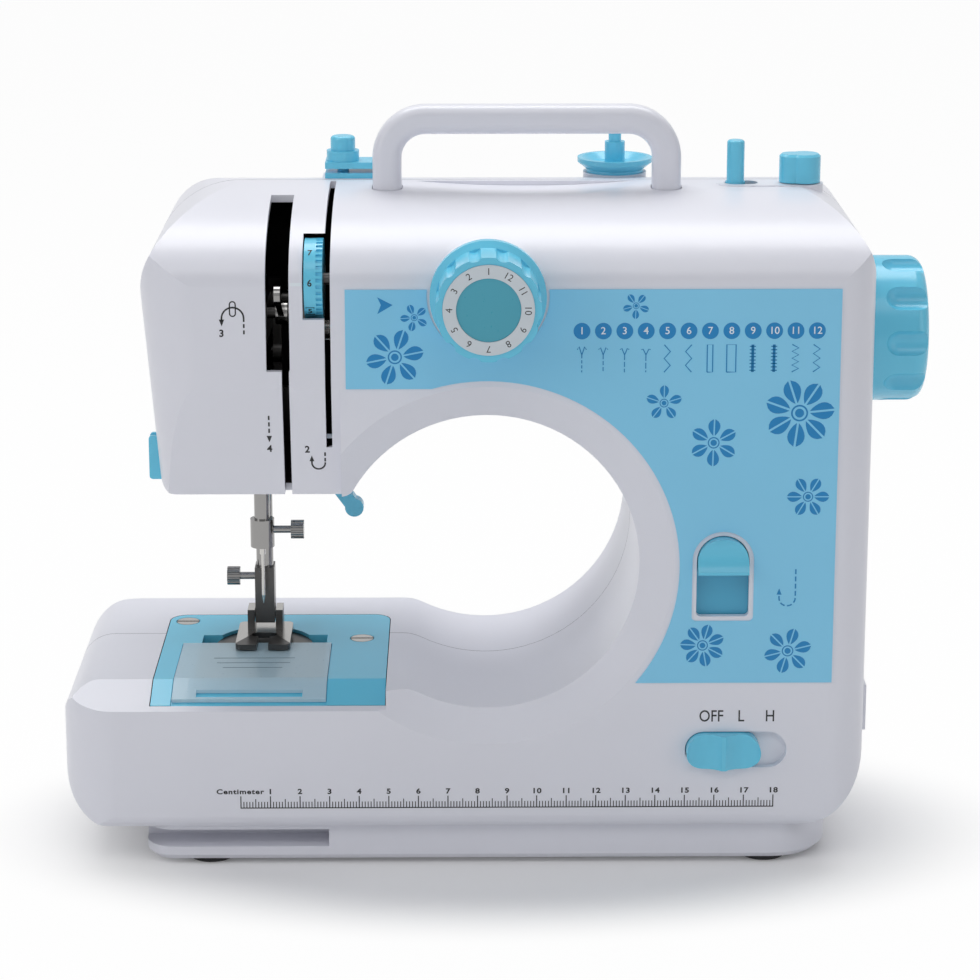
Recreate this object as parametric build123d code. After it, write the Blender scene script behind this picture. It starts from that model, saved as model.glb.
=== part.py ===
from build123d import *
import math
import os

# Compact sewing machine, in millimetres.
# +X is to the right of the person sewing, -Y faces that person, +Z is up.
# The origin is on the table, under the middle of the machine.

# Housing
BODY_LEFT = -147.75
BODY_RIGHT = 124.2
BODY_FRONT = -42.0
BODY_BACK = 64.0
BODY_BOTTOM = 15.0
BODY_TOP = 227.0
SEAM_Y = 23.0
WALL = 2.5
BED_TOP = 63.5
ARM_BOTTOM = 131.0
HEAD_TOP_LEFT = -120.5
HEAD_BOTTOM_LEFT = -112.6
BED_END_ROUND = 12.0
BED_FOOT_ROUND = 20.0
COLUMN_FOOT_ROUND = 27.0
COLUMN_TOP_ROUND = 26.0
HEAD_TOP_ROUND = 30.0
HEAD_BOTTOM_ROUND = 6.0
CROWN_HEIGHT = 24.0
CROWN_Y = 20.0
ROOF_PAD_DEPTH = 3.0
ROOF_PAD_MARGIN = 1.0
ROOF_DROP = 1.2
FLOOR_EDGE_ROUND = 5.0
LEFT_EDGE_ROUND = 18.0
RIGHT_EDGE_ROUND = 14.0

# Arch under the arm
ARCH_X = -4.0
ARCH_Z = 107.5
ARCH_RADIUS = 51.0
ARCH_BEVEL_RADIUS = 62.0
ARCH_BEVEL_DEPTH = 6.0
SHOULDER_ROUND = 15.0
ARM_CORNER_ROUND = 4.0

# Slopes on the front: under the head and along the bed
HEAD_SLOPE_TOP = 169.0
HEAD_SLOPE_DEPTH = 8.0
HEAD_SLOPE_RIGHT = -52.0
BED_SLOPE_DEPTH = 16.0
BED_SLOPE_DROP = 6.0
BED_SLOPE_RIGHT = -38.0

# Base
BASE_LEFT = -120.5
BASE_SHORTER = 11.0
BASE_RIGHT = BODY_RIGHT - BASE_SHORTER
BASE_INSET = 5.0
BASE_CORNER_ROUND = 20.0
FOOT_HEIGHT = 2.0
FOOT_RADIUS = 9.0
FOOT_INSET = 22.0
FINGER_SLOT_RIGHT = -57.8
FINGER_SLOT_LOW = 7.0
FINGER_SLOT_HIGH = 13.2
FINGER_SLOT_DEPTH = 12.0
FOOT_SINK = 1.0
BASE_CHAMFER = 2.0

# Gaps
SLIDE_GAP = 0.3
TURN_GAP = 0.05
SEAT_GAP = 0.3

# Head slots and the tension wheel
TAKE_UP_SLOT_LEFT = -76.0
TAKE_UP_SLOT_RIGHT = -68.3
TAKE_UP_SLOT_LOW = 174.7
TAKE_UP_SLOT_BACK = 0.0
THREAD_SLIT_LEFT = -71.0
THREAD_SLIT_RIGHT = -68.6
TENSION_SLIT_LEFT = -56.9
TENSION_SLIT_RIGHT = -54.9
TENSION_SLIT_LOW = 148.0
TENSION_SLIT_BACK = 20.0
TENSION_WINDOW_LEFT = -63.9
TENSION_WINDOW_LOW = 192.0
TENSION_WINDOW_HIGH = 218.0
TENSION_RADIUS = 13.5
TENSION_Z = 203.0
TENSION_PROUD = 0.5
TENSION_Y = BODY_FRONT - TENSION_PROUD + TENSION_RADIUS
TENSION_SIDE_GAP = 0.5
TENSION_TEETH = 40
TENSION_TOOTH = 1.2
TENSION_SMOOTH_SHARE = 0.65

BAR_HOLE_GAP = 1.2
LAMP_X = -100.0
LAMP_Y = 4.0
LAMP_RADIUS = 6.0
LAMP_PROUD = 1.5
CUTTER_PROUD = 3.5
CUTTER_FRONT = -22.0
CUTTER_BACK = -16.5
CUTTER_RISE = 2.0
CUTTER_HEIGHT = 15.0
CUTTER_NOTCH_DEPTH = 9.0
CUTTER_LOW = ARM_BOTTOM + CUTTER_RISE
CUTTER_HIGH = CUTTER_LOW + CUTTER_HEIGHT
CUTTER_NOTCH = 1.4
TENSION_RIB_LEFT = -54.5
TENSION_RIB_WIDTH = 2.5

# Take-up lever
TAKE_UP_X = -72.4
TAKE_UP_Y = -12.0
TAKE_UP_Z = 188.0
TAKE_UP_ANGLE = 25.0
TAKE_UP_LENGTH = 26.0
TAKE_UP_WIDTH = 4.0
TAKE_UP_TIP = 3.0
TAKE_UP_THICKNESS = 2.0
TAKE_UP_HUB = 4.0
TAKE_UP_EYE = 1.2
PIN_RADIUS = 2.0
TAKE_UP_BRACKET_RIGHT = -77.2
TAKE_UP_BRACKET_WIDTH = 2.0

# Screws that join the shells
SCREW_RADIUS = 1.5
SCREW_HEAD_RADIUS = 3.0
SCREW_SINK = 4.0
SCREW_BITE = 14.0
SCREW_INSET = 19.0
SCREW_SIDE = 15.0
SCREW_FLOOR = 12.0
SCREW_ROOF = 21.5
SCREW_DEPTH_BED = 24.0
SCREW_HEAD_DROP = 27.0
SCREW_MIDDLE_X = 20.0

# Pattern dial
DIAL_X = -3.6
DIAL_Z = 199.8
DIAL_BASE_RADIUS = 19.0
DIAL_GRIP_RADIUS = 17.0
DIAL_LENGTH = 22.0
DIAL_BASE_LENGTH = 5.0
DIAL_LOBES = 12
DIAL_RING_OUTER = 14.7
DIAL_RING_INNER = 10.4
DIAL_RING_PROUD = 0.4
DIAL_SCALLOP_RADIUS = 3.0
DIAL_SCALLOP_OUT = 2.1
DIAL_SHAFT_RADIUS = 4.0
CAM_RADIUS = 14.0
CAM_LENGTH = 14.0
CAM_TURN = 40.0
DIAL_BOSS_LENGTH = 8.0
DIAL_BOSS_BACK = BODY_FRONT + DIAL_BOSS_LENGTH

# Front panel film
PANEL_LEFT = -50.1
PANEL_INSET = 12.7
PANEL_RIGHT = BODY_RIGHT - PANEL_INSET
PANEL_TOP = 202.0
PANEL_BOTTOM = 67.3
PANEL_ARM_BOTTOM = 168.9
PANEL_ARCH_MARGIN = 2.0
PANEL_ARCH_RADIUS = ARCH_BEVEL_RADIUS + PANEL_ARCH_MARGIN
PANEL_THICKNESS = 0.4

# Reverse lever
REVERSE_CLEAR = 5.7
REVERSE_WIDTH = 17.5
REVERSE_LEFT = ARCH_X + PANEL_ARCH_RADIUS + REVERSE_CLEAR
REVERSE_RIGHT = REVERSE_LEFT + REVERSE_WIDTH
REVERSE_LOW = 90.5
REVERSE_HIGH = 118.5
REVERSE_KNOB_HEIGHT = 12.5
REVERSE_TRAVEL = 12.0
REVERSE_PROUD = 4.0
REVERSE_PLATE_THICKNESS = 2.0
REVERSE_PLATE_MARGIN = 4.0
REVERSE_CORNER = 1.5
REVERSE_SCOOP_RADIUS = 9.0
REVERSE_SCOOP_OUT = 0.75
REVERSE_SCOOP_RISE = 6.875

# Speed slider
SPEED_INSET = 27.2
SPEED_SLOT_LENGTH = 34.3
SPEED_RIGHT = BODY_RIGHT - SPEED_INSET
SPEED_LEFT = SPEED_RIGHT - SPEED_SLOT_LENGTH
SPEED_LOW = 37.0
SPEED_HIGH = 49.8
SPEED_SLIDER_LENGTH = 25.0
SPEED_PROUD = 4.5
SPEED_SCOOP_RADIUS = 8.0
SPEED_SCOOP_SPACING = 6.4
SPEED_SCOOP_OUT = 5.6
SWITCH_DEPTH = 8.0
BOARD_MARGIN = 6.0
BOARD_THICKNESS = 1.6

# Handwheel and main shaft
SHAFT_Y = 13.0
SHAFT_Z = 176.8
SHAFT_RADIUS = 4.0
SHAFT_LEFT = -67.0
HANDWHEEL_RADIUS = 25.0
HANDWHEEL_REACH = 23.55
HANDWHEEL_RIGHT = BODY_RIGHT + HANDWHEEL_REACH
HANDWHEEL_GAP = 1.0
HANDWHEEL_DIMPLES = 10
HANDWHEEL_DIMPLE_RADIUS = 5.0
HANDWHEEL_DIMPLE_SHARE = 0.45
HANDWHEEL_DOME = 2.5
HANDWHEEL_EDGE_ROUND = 5.0
HANDWHEEL_BACK_ROUND = 2.0
HANDWHEEL_BORE = 12.0

# Carrying handle
HANDLE_LEFT = -42.2
HANDLE_RIGHT = 62.2
HANDLE_TOP = 254.8
HANDLE_BAR = 9.8
HANDLE_DEPTH = 10.0
HANDLE_Y = 10.0
HANDLE_CORNER = 18.0
HANDLE_LEG_LOW = 208.0
HANDLE_RECESS_DEPTH = 1.6
HANDLE_RECESS_LENGTH = 76.0
HANDLE_LEG_ROUND = 3.5

# Spool, winder and thread guide on the roof
SPOOL_X = 41.3
SPOOL_Y = 40.0
SPOOL_PAD_DEPTH = 8.5
SPOOL_BUSH_RADIUS = 10.0
SPOOL_BUSH_HEIGHT = 1.0
SPOOL_DISH_RADIUS = 13.0
SPOOL_DISH_HEIGHT = 4.0
SPOOL_DISH_RISE = 2.4
SPOOL_DISH_FLOOR = 2.0
SPOOL_DISH_RIM = 1.5
SPOOL_POST_RADIUS = 3.5
SPOOL_POST_HEIGHT = 5.5
SPOOL_PIN_RADIUS = 2.2
SPOOL_STEM_RADIUS = 2.6
SPOOL_PIN_TOP = 246.0
STOP_INSET = 19.4
STOP_X = BODY_RIGHT - STOP_INSET
WINDER_SPACING = 23.5
WINDER_X = STOP_X - WINDER_SPACING
WINDER_Y = 16.0
WINDER_RADIUS = 3.0
WINDER_STEM_RADIUS = 3.4
WINDER_STEP = 0.5
WINDER_TOP = 241.7
WINDER_TRAVEL = 4.0
WINDER_WHEEL_RADIUS = 7.0
CARRIAGE_HEIGHT = 4.5
STOP_TOP = 237.0
STOP_RADIUS = 5.5
STOP_NOSE = 8.2
STOP_STEM_RADIUS = 3.0
STOP_CHAMFER = 0.8
GUIDE_X = -53.0
GUIDE_Y = 31.0
GUIDE_LENGTH = 24.0
GUIDE_WIDTH = 12.0
GUIDE_TOP = 232.5
GUIDE_COLLAR_RADIUS = 5.6
GUIDE_CAP_RADIUS = 4.25
GUIDE_CAP_TOP = 241.0
GUIDE_BASE_HEIGHT = 1.8
GUIDE_PLATE = 2.2
GUIDE_STEM_RADIUS = 2.0
GUIDE_COLLAR_HEIGHT = 3.5

# Needle and presser bars
NEEDLE_X = -82.0
NEEDLE_Y = 13.0
NEEDLE_BAR_RADIUS = 2.75
NEEDLE_BAR_TOP = 218.0
NEEDLE_BAR_LOW = 101.0
NEEDLE_TIP = 78.0
NEEDLE_RADIUS = 0.6
CLAMP_RADIUS = 4.2
CLAMP_HIGH = 109.0
CLAMP_LOW = 99.0
CRANK_THROW = 11.0
CRANK_RADIUS = 16.5
LINK_LENGTH = 18.8
LINK_LEFT = -77.0
LINK_RIGHT = -74.0
LINK_PIN_RADIUS = 2.5
CARRIER_RADIUS = 4.8
NEEDLE_SHANK_RADIUS = 1.1
NEEDLE_SHANK = 3.0
NEEDLE_POINT = 3.0
CLAMP_SCREW_RADIUS = 1.3
CLAMP_SCREW_LENGTH = 11.5
THUMB_RADIUS = 3.3
THUMB_HEAD = 4.5
THUMB_GROOVES = 12
GUIDE_ARM_LOW = 178.0
GUIDE_ARM_HEIGHT = 8.0
GUIDE_FLOOR_HEIGHT = 6.0
PRESSER_Y = 23.0
PRESSER_RADIUS = 3.0
PRESSER_TOP = 214.0
SHANK_LOW = 74.0
SHANK_HIGH = 89.0
FOOT_BOTTOM = 64.4
FOOT_WIDTH = 19.0
FOOT_LENGTH = 26.0
FOOT_HEEL = 4.5
FOOT_SOLE = 2.0
FOOT_SLOT = 4.0
FOOT_NEEDLE_SLOT = 9.0
FOOT_CHEEK = 2.5
FOOT_PIN_Z = 71.0
FOOT_PIN_RADIUS = 1.2
FOOT_SCREW_Z = 85.0
FOOT_SCREW_LENGTH = 10.0
SHANK_WIDTH = 6.8
SHANK_DEPTH = 8.4
SHANK_SOCKET = 6.0
COLLAR_RADIUS = 4.2
COLLAR_HEIGHT = 4.0
SPRING_WIRE = 0.8
SPRING_TURNS = 6

# Presser foot lifter
LIFTER_X = -76.0
LIFTER_Z = 143.0
LIFTER_FRONT = 30.0
LIFTER_BACK = 35.0
LIFTER_WIDTH = 5.0
LIFTER_LENGTH = 43.5
LIFTER_ANGLE = 36.0
LIFTER_RIBS = 5
LIFTER_RIB_STEP = 2.4
LIFTER_TIP_RADIUS = 3.3
LIFTER_SLOT_RIGHT = -51.6

# Power and pedal jacks
JACK_FRONT = -20.0
JACK_BACK = 6.0
JACK_LOW = 45.0
JACK_HIGH = 57.0
JACK_PROUD = 2.0
JACK_DEPTH = 12.0
JACK_BORE = 9.5
POWER_JACK_RADIUS = 2.8
POWER_JACK_Y = -13.0
PEDAL_JACK_RADIUS = 1.8
PEDAL_JACK_Y = 0.0

# Needle plate and bobbin
PLATE_LEFT = -117.3
PLATE_RIGHT = -38.3
PLATE_BACK = 44.0
PLATE_THICKNESS = 4.0
PLATE_ROUND = 6.0
PLATE_FRONT = -39.0
RAIL_WIDTH = 4.0
RAIL_HEIGHT = 2.5
PLATE_WINDOW_LEFT = -104.0
PLATE_WINDOW_RIGHT = -60.0
PLATE_WINDOW_BACK = 21.0
PLATE_WINDOW_FRONT = -24.0
FEED_WINDOW_BACK = 28.5
PLATE_SCREWS = ((-111.0, 36.9), (-47.7, 17.2))
PLATE_SCREW_RADIUS = 1.6
PLATE_SCREW_HEAD = 4.0
PLATE_SCREW_SINK = 1.6
PLATE_SCREW_LENGTH = 6.0
PLATE_SCREW_SLOT = 0.8
PLATE_SCREW_SLOT_WIDTH = 1.0
COVER_LEFT = -110.3
COVER_RIGHT = -58.3
COVER_BACK = 11.0
COVER_THICKNESS = 1.2
COVER_FRONT = -36.5
COVER_SINK = 0.75
COVER_GRIP_LENGTH = 36.0
COVER_GRIP_WIDTH = 3.5
STITCH_PLATE_RADIUS = 17.0
STITCH_PLATE_LOW = 61.2
NEEDLE_HOLE = 2.4
STITCH_PLATE_THICKNESS = 1.2
FEED_TRAVEL = 1.5
FEED_BAR_LENGTH = 12.0
FEED_Y = 19.0
FEED_TOP = 63.8
FEED_LOW = 58.6
FEED_TEETH = 7
FEED_TOOTH = 0.8
FEED_SPREAD = 5.0
FEED_BAR_WIDTH = 2.5
FEED_CROSS = 3.0
HOOK_X = -84.0
HOOK_Y = -6.0
HOOK_RADIUS = 14.5
HOOK_LOW = 46.0
HOOK_HIGH = 58.0
HOOK_WALL = 2.0
HOOK_NOTCH = 5.0
HOOK_SHAFT_RADIUS = 2.5
HOOK_BASE_LOW = BODY_BOTTOM + WALL
HOOK_BASE_HALF = 6.0
BOBBIN_RADIUS = 10.2
BOBBIN_BORE = 3.0
BOBBIN_HUB = 5.0
BOBBIN_FLANGE = 1.0
BOBBIN_HEIGHT = 9.2

# Drive inside the column and the bed
DRIVE_PULLEY_RADIUS = 22.0
DRIVE_PULLEY_INSET = 27.2
DRIVE_PULLEY_LEFT = BODY_RIGHT - DRIVE_PULLEY_INSET
PULLEY_WIDTH = 8.0
MOTOR_PULLEY_RADIUS = 6.0
MOTOR_Y = 44.0
MOTOR_Z = 72.0
MOTOR_RADIUS = 15.0
MOTOR_INSET = 74.2
MOTOR_LEFT = BODY_RIGHT - MOTOR_INSET
MOTOR_LENGTH = 43.0
BELT_THICKNESS = 2.0
BELT_WIDTH = 6.0
TIMING_RADIUS = 11.0
TIMING_INSET = 40.2
TIMING_LEFT = BODY_RIGHT - TIMING_INSET
LOWER_SHAFT_Z = 32.0
LOWER_SHAFT_RADIUS = 3.0
HOOK_GEAR_RADIUS = 6.1
HOOK_PINION_RADIUS = 12.3
HOOK_GEAR_TEETH = 12
TIMING_TEETH = 18
TOOTH_DEPTH = 0.9
GEAR_WIDTH = 10.0
PINION_WIDTH = 20.0
LOWER_BEARING_LEFT = -44.0
LOWER_BEARING_INSET = 66.2
LOWER_BEARING_RIGHT = BODY_RIGHT - LOWER_BEARING_INSET
PILLOW_HALF = 7.0
CRANK_THICKNESS = 6.0
WEB_RIM = 3.0
MOTOR_SHAFT_RADIUS = 1.6
MOTOR_BORE = 8.0
MOTOR_CHAMFER = 1.5
GUIDE_ARM_REACH = 7.0
FRAME_FRONT = 26.0
FRAME_THICKNESS = 2.5
FRAME_BACK = FRAME_FRONT + FRAME_THICKNESS
FRAME_BOSS_INSET = 7.0
ARM_FRAME_LEFT = -56.0
ARM_FRAME_INSET = 42.2
ARM_FRAME_RIGHT = BODY_RIGHT - ARM_FRAME_INSET
ARM_FRAME_LOW = 164.0
ARM_FRAME_HIGH = 197.0
HEAD_FRAME_LEFT = -100.0
HEAD_FRAME_RIGHT = -69.0
HEAD_FRAME_STEP = -75.0
HEAD_FRAME_LOW = 133.5
HEAD_FRAME_HIGH = 192.0
BUSH_WALL = 3.0
BUSH_LENGTH = 5.0
BOSS_RADIUS = 4.0
FAR = 400.0

os.makedirs("parts", exist_ok=True)


# Building blocks
def block(x0, x1, y0, y1, z0, z1):
    """A box between two corners."""
    centre = Pos((x0 + x1) / 2, (y0 + y1) / 2, (z0 + z1) / 2)
    return centre * Box(x1 - x0, y1 - y0, z1 - z0)


def along_x(profile, x0, x1):
    """A (Y, Z) profile carried from x0 to x1."""
    return extrude(Plane.YZ.offset(x0) * profile, x1 - x0)


def along_y(profile, y0, y1):
    """An (X, Z) profile carried from y0 to y1."""
    facing = Plane(origin=(0, y1, 0), x_dir=(1, 0, 0), z_dir=(0, -1, 0))
    return extrude(facing * profile, y1 - y0)


def along_z(profile, z0, z1):
    """An (X, Y) profile carried from z0 to z1."""
    return extrude(Plane.XY.offset(z0) * profile, z1 - z0)


def rod_x(radius, x0, x1, y, z):
    return along_x(Pos(y, z) * Circle(radius), x0, x1)


def rod_y(radius, y0, y1, x, z):
    return along_y(Pos(x, z) * Circle(radius), y0, y1)


def rod_z(radius, z0, z1, x, y):
    return along_z(Pos(x, y) * Circle(radius), z0, z1)


def outline(corners):
    """A face through (u, v, radius) corners, each rounded by its radius."""
    edges = []
    count = len(corners)
    ends = []
    for index, (u, v, radius) in enumerate(corners):
        here = Vector(u, v)
        before = (Vector(*corners[index - 1][:2]) - here).normalized()
        after = (Vector(*corners[(index + 1) % count][:2]) - here).normalized()
        if radius == 0:
            ends.append((here, here))
            continue
        half = math.acos(max(-1.0, min(1.0, before.dot(after)))) / 2
        reach = radius / math.tan(half)
        middle = (before + after).normalized()
        centre = here + middle * (radius / math.sin(half))
        start = here + before * reach
        end = here + after * reach
        edges.append(ThreePointArc(start, centre - middle * radius, end))
        ends.append((start, end))
    for index in range(count):
        start = ends[index][1]
        end = ends[(index + 1) % count][0]
        if (end - start).length > 1e-6:
            edges.append(Line(start, end))
    return make_face(edges)


def write(name, shape):
    export_step(shape, f"parts/{name}.step")


# Housing
def arch_blend(level, radius, side):
    """Arc that rounds a level surface into the arch: line point, middle, arch point."""
    centre_z = level + side * radius
    drop = ARCH_Z - centre_z
    centre_x = ARCH_X - math.sqrt((ARCH_RADIUS + radius) ** 2 - drop ** 2)
    centre = Vector(centre_x, centre_z)
    towards = (Vector(ARCH_X, ARCH_Z) - centre).normalized()
    on_line = Vector(centre_x, level)
    on_arch = centre + towards * radius
    middle = centre + ((on_line - centre) + (on_arch - centre)).normalized() * radius
    return on_line, middle, on_arch


def throat():
    """Open space under the arm in the front view."""
    bed_line, bed_middle, bed_arch = arch_blend(BED_TOP, SHOULDER_ROUND, -1)
    arm_line, arm_middle, arm_arch = arch_blend(ARM_BOTTOM, ARM_CORNER_ROUND, 1)
    edges = [
        Line((-FAR, BED_TOP), bed_line),
        ThreePointArc(bed_line, bed_middle, bed_arch),
        Line(bed_arch, (ARCH_X, ARCH_Z)),
        Line((ARCH_X, ARCH_Z), arm_arch),
        ThreePointArc(arm_arch, arm_middle, arm_line),
        Line(arm_line, (-FAR, ARM_BOTTOM)),
        Line((-FAR, ARM_BOTTOM), (-FAR, BED_TOP)),
    ]
    return make_face(edges) + Pos(ARCH_X, ARCH_Z) * Circle(ARCH_RADIUS)


def front_view():
    """C-shaped front view of the housing."""
    bed = outline([
        (BODY_LEFT, BODY_BOTTOM, BED_FOOT_ROUND),
        (BODY_RIGHT, BODY_BOTTOM, COLUMN_FOOT_ROUND),
        (BODY_RIGHT, ARCH_Z, 0),
        (ARCH_X, ARCH_Z, 0),
        (ARCH_X, BED_TOP, 0),
        (BODY_LEFT, BED_TOP, BED_END_ROUND),
    ])
    arm = outline([
        (HEAD_BOTTOM_LEFT, ARM_BOTTOM, HEAD_BOTTOM_ROUND),
        (ARCH_X, ARM_BOTTOM, 0),
        (ARCH_X, ARCH_Z, 0),
        (BODY_RIGHT, ARCH_Z, 0),
        (BODY_RIGHT, BODY_TOP, COLUMN_TOP_ROUND),
        (HEAD_TOP_LEFT, BODY_TOP, HEAD_TOP_ROUND),
    ])
    return bed + arm - throat()


def side_view(inset):
    """Side view of the housing: rounded floor edges and a crowned roof."""
    front = BODY_FRONT + inset
    back = BODY_BACK - inset
    low = BODY_BOTTOM + inset
    spring = BODY_TOP - CROWN_HEIGHT
    rise = CROWN_HEIGHT - inset
    walls = outline([
        (front, low, FLOOR_EDGE_ROUND - inset),
        (back, low, FLOOR_EDGE_ROUND - inset),
        (back, spring, 0),
        (front, spring, 0),
    ])
    crest = Pos(CROWN_Y, spring)
    sky = Align.MIN
    brow = crest * (Ellipse(CROWN_Y - front, rise) & Rectangle(FAR, FAR, align=(Align.MAX, sky)))
    nape = crest * (Ellipse(back - CROWN_Y, rise) & Rectangle(FAR, FAR, align=(Align.MIN, sky)))
    return walls + brow + nape


def plan(left, right, inset):
    """Top view between two sides, with rounded upright edges."""
    front = BODY_FRONT + inset
    back = BODY_BACK - inset
    left_round = LEFT_EDGE_ROUND - inset
    right_round = RIGHT_EDGE_ROUND - inset
    return outline([
        (left + inset, front, left_round),
        (right - inset, front, right_round),
        (right - inset, back, right_round),
        (left + inset, back, left_round),
    ])


def arch_bevel(inset):
    """Cone that opens the arch towards the front."""
    rise = ARCH_BEVEL_RADIUS - ARCH_RADIUS
    steep = rise / ARCH_BEVEL_DEPTH
    front = BODY_FRONT + inset
    edge = ARCH_BEVEL_RADIUS + inset
    ahead = 4 * WALL
    section = make_face(Polyline(
        (0, front - ahead),
        (edge + steep * ahead, front - ahead),
        (edge - rise, front + ARCH_BEVEL_DEPTH),
        (0, front + ARCH_BEVEL_DEPTH),
        close=True,
    ))
    return Pos(ARCH_X, 0, ARCH_Z) * revolve(section, Axis.Y)


def front_slopes(inset):
    """Wedges cut from the front under the head and along the bed."""
    front = BODY_FRONT + inset
    head = make_face(Polyline(
        (front - FAR, HEAD_SLOPE_TOP + inset),
        (front, HEAD_SLOPE_TOP + inset),
        (front + HEAD_SLOPE_DEPTH, ARM_BOTTOM + inset),
        (front + HEAD_SLOPE_DEPTH, ARM_BOTTOM - FOOT_HEIGHT),
        (front - FAR, ARM_BOTTOM - FOOT_HEIGHT),
        close=True,
    ))
    bed = make_face(Polyline(
        (front - FAR, BED_TOP - BED_SLOPE_DROP - inset),
        (front, BED_TOP - BED_SLOPE_DROP - inset),
        (front + BED_SLOPE_DEPTH, BED_TOP - inset),
        (front + BED_SLOPE_DEPTH, BED_TOP + WALL),
        (front - FAR, BED_TOP + WALL),
        close=True,
    ))
    return [
        along_x(head, -FAR, HEAD_SLOPE_RIGHT + inset),
        along_x(bed, -FAR, BED_SLOPE_RIGHT + inset),
    ]


def body_form(inset):
    """Whole outer form of the housing, drawn in all round by the inset."""
    front = BODY_FRONT + inset
    back = BODY_BACK - inset
    face = front_view()
    if inset > 0:
        face = offset(face, amount=-inset, kind=Kind.ARC)
    form = along_y(face, front, back)
    form = form & along_x(side_view(inset), -FAR, FAR)
    middle = (BED_TOP + ARM_BOTTOM) / 2
    lean = Vector(HEAD_TOP_LEFT - HEAD_BOTTOM_LEFT, 0, BODY_TOP - ARM_BOTTOM)
    head_base = plan(HEAD_BOTTOM_LEFT, FAR, inset)
    head = extrude(Plane.XY.offset(ARM_BOTTOM) * head_base, amount=lean.length, dir=lean.normalized())
    column = along_z(plan(-FAR, BODY_RIGHT, inset), 0, FAR)
    bed = along_z(plan(BODY_LEFT, FAR, inset), 0, middle)
    spine = block(ARCH_X, FAR, -FAR, FAR, 0, FAR)
    form = form & (bed + head + spine) & column
    form = form - arch_bevel(inset)
    for wedge in front_slopes(inset):
        form = form - wedge
    return form


def bed_slope(y):
    """Height of the sloping front of the bed."""
    run = (y - BODY_FRONT) / BED_SLOPE_DEPTH
    return BED_TOP - BED_SLOPE_DROP * (1 - run)


def plate_form(grow, top_room):
    """Needle plate with its bent front lip, grown sideways by a gap."""
    back = PLATE_BACK + grow
    bend = BODY_FRONT + BED_SLOPE_DEPTH
    front = PLATE_FRONT - grow
    low = BED_TOP - PLATE_THICKNESS
    section = make_face(Polyline(
        (back, BED_TOP + top_room),
        (bend, BED_TOP + top_room),
        (front, bed_slope(front) + top_room),
        (front, bed_slope(front) - PLATE_THICKNESS),
        (bend, low),
        (back, low),
        close=True,
    ))
    left = PLATE_LEFT - grow
    right = PLATE_RIGHT + grow
    view = outline([
        (left, front, 0),
        (right, front, 0),
        (right, back, PLATE_ROUND + grow),
        (left, back, PLATE_ROUND + grow),
    ])
    return along_x(section, left, right) & along_z(view, 0, BODY_TOP)


def plate_rails():
    """Ledges in the housing that carry the needle plate."""
    low = BED_TOP - PLATE_THICKNESS - RAIL_HEIGHT
    high = BED_TOP - WALL / 2
    front = BODY_FRONT + BED_SLOPE_DEPTH
    outer = block(
        PLATE_LEFT - RAIL_WIDTH, PLATE_RIGHT + RAIL_WIDTH, front, PLATE_BACK + RAIL_WIDTH, low, high)
    inner = block(
        PLATE_LEFT + RAIL_WIDTH, PLATE_RIGHT - RAIL_WIDTH, -FAR, PLATE_BACK - RAIL_WIDTH, low, high)
    return outer - inner


def screw_places():
    """Front view places of the screws that join the two shells."""
    return [
        (BODY_LEFT + SCREW_INSET, BED_TOP - SCREW_DEPTH_BED),
        (ARCH_X, ARCH_Z - ARCH_RADIUS - WALL - 2 * BOSS_RADIUS),
        (BODY_RIGHT - SCREW_INSET, BODY_BOTTOM + SCREW_FLOOR),
        (BODY_RIGHT - SCREW_SIDE, BODY_TOP - SCREW_ROOF),
        (SCREW_MIDDLE_X, BODY_TOP - SCREW_ROOF),
        (HEAD_TOP_LEFT + SCREW_INSET, BODY_TOP - SCREW_HEAD_DROP),
    ]


def tension_rib():
    """Rib under the roof that holds the tension wheel's pin."""
    half = 2 * PIN_RADIUS
    right = TENSION_RIB_LEFT + TENSION_RIB_WIDTH
    return block(TENSION_RIB_LEFT, right, TENSION_Y - half, TENSION_Y + half, TENSION_Z - half, BODY_TOP)


def frame_bosses():
    """Pillars on the rear wall that carry the two inner frames."""
    back = BODY_BACK - WALL / 2
    places = arm_frame_places() + head_frame_places()
    return [rod_y(BOSS_RADIUS, FRAME_BACK, back, x, z) for x, z in places]


def arm_frame_places():
    return [
        (x, z)
        for x in (ARM_FRAME_LEFT + FRAME_BOSS_INSET, ARM_FRAME_RIGHT - FRAME_BOSS_INSET)
        for z in (ARM_FRAME_LOW + FRAME_BOSS_INSET, ARM_FRAME_HIGH - FRAME_BOSS_INSET)
    ]


def head_frame_places():
    x = HEAD_FRAME_LEFT + FRAME_BOSS_INSET
    return [(x, HEAD_FRAME_LOW + 2 * FRAME_BOSS_INSET), (x, HEAD_FRAME_HIGH - FRAME_BOSS_INSET)]


def handle_legs():
    """Centres of the two handle legs along X."""
    return (HANDLE_LEFT + HANDLE_BAR / 2, HANDLE_RIGHT - HANDLE_BAR / 2)


def reverse_window(grow):
    round_top = (REVERSE_RIGHT - REVERSE_LEFT) / 2 + grow - TURN_GAP
    return outline([
        (REVERSE_LEFT - grow, REVERSE_LOW - grow, REVERSE_CORNER),
        (REVERSE_RIGHT + grow, REVERSE_LOW - grow, REVERSE_CORNER),
        (REVERSE_RIGHT + grow, REVERSE_HIGH + grow, round_top),
        (REVERSE_LEFT - grow, REVERSE_HIGH + grow, round_top),
    ])


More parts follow.
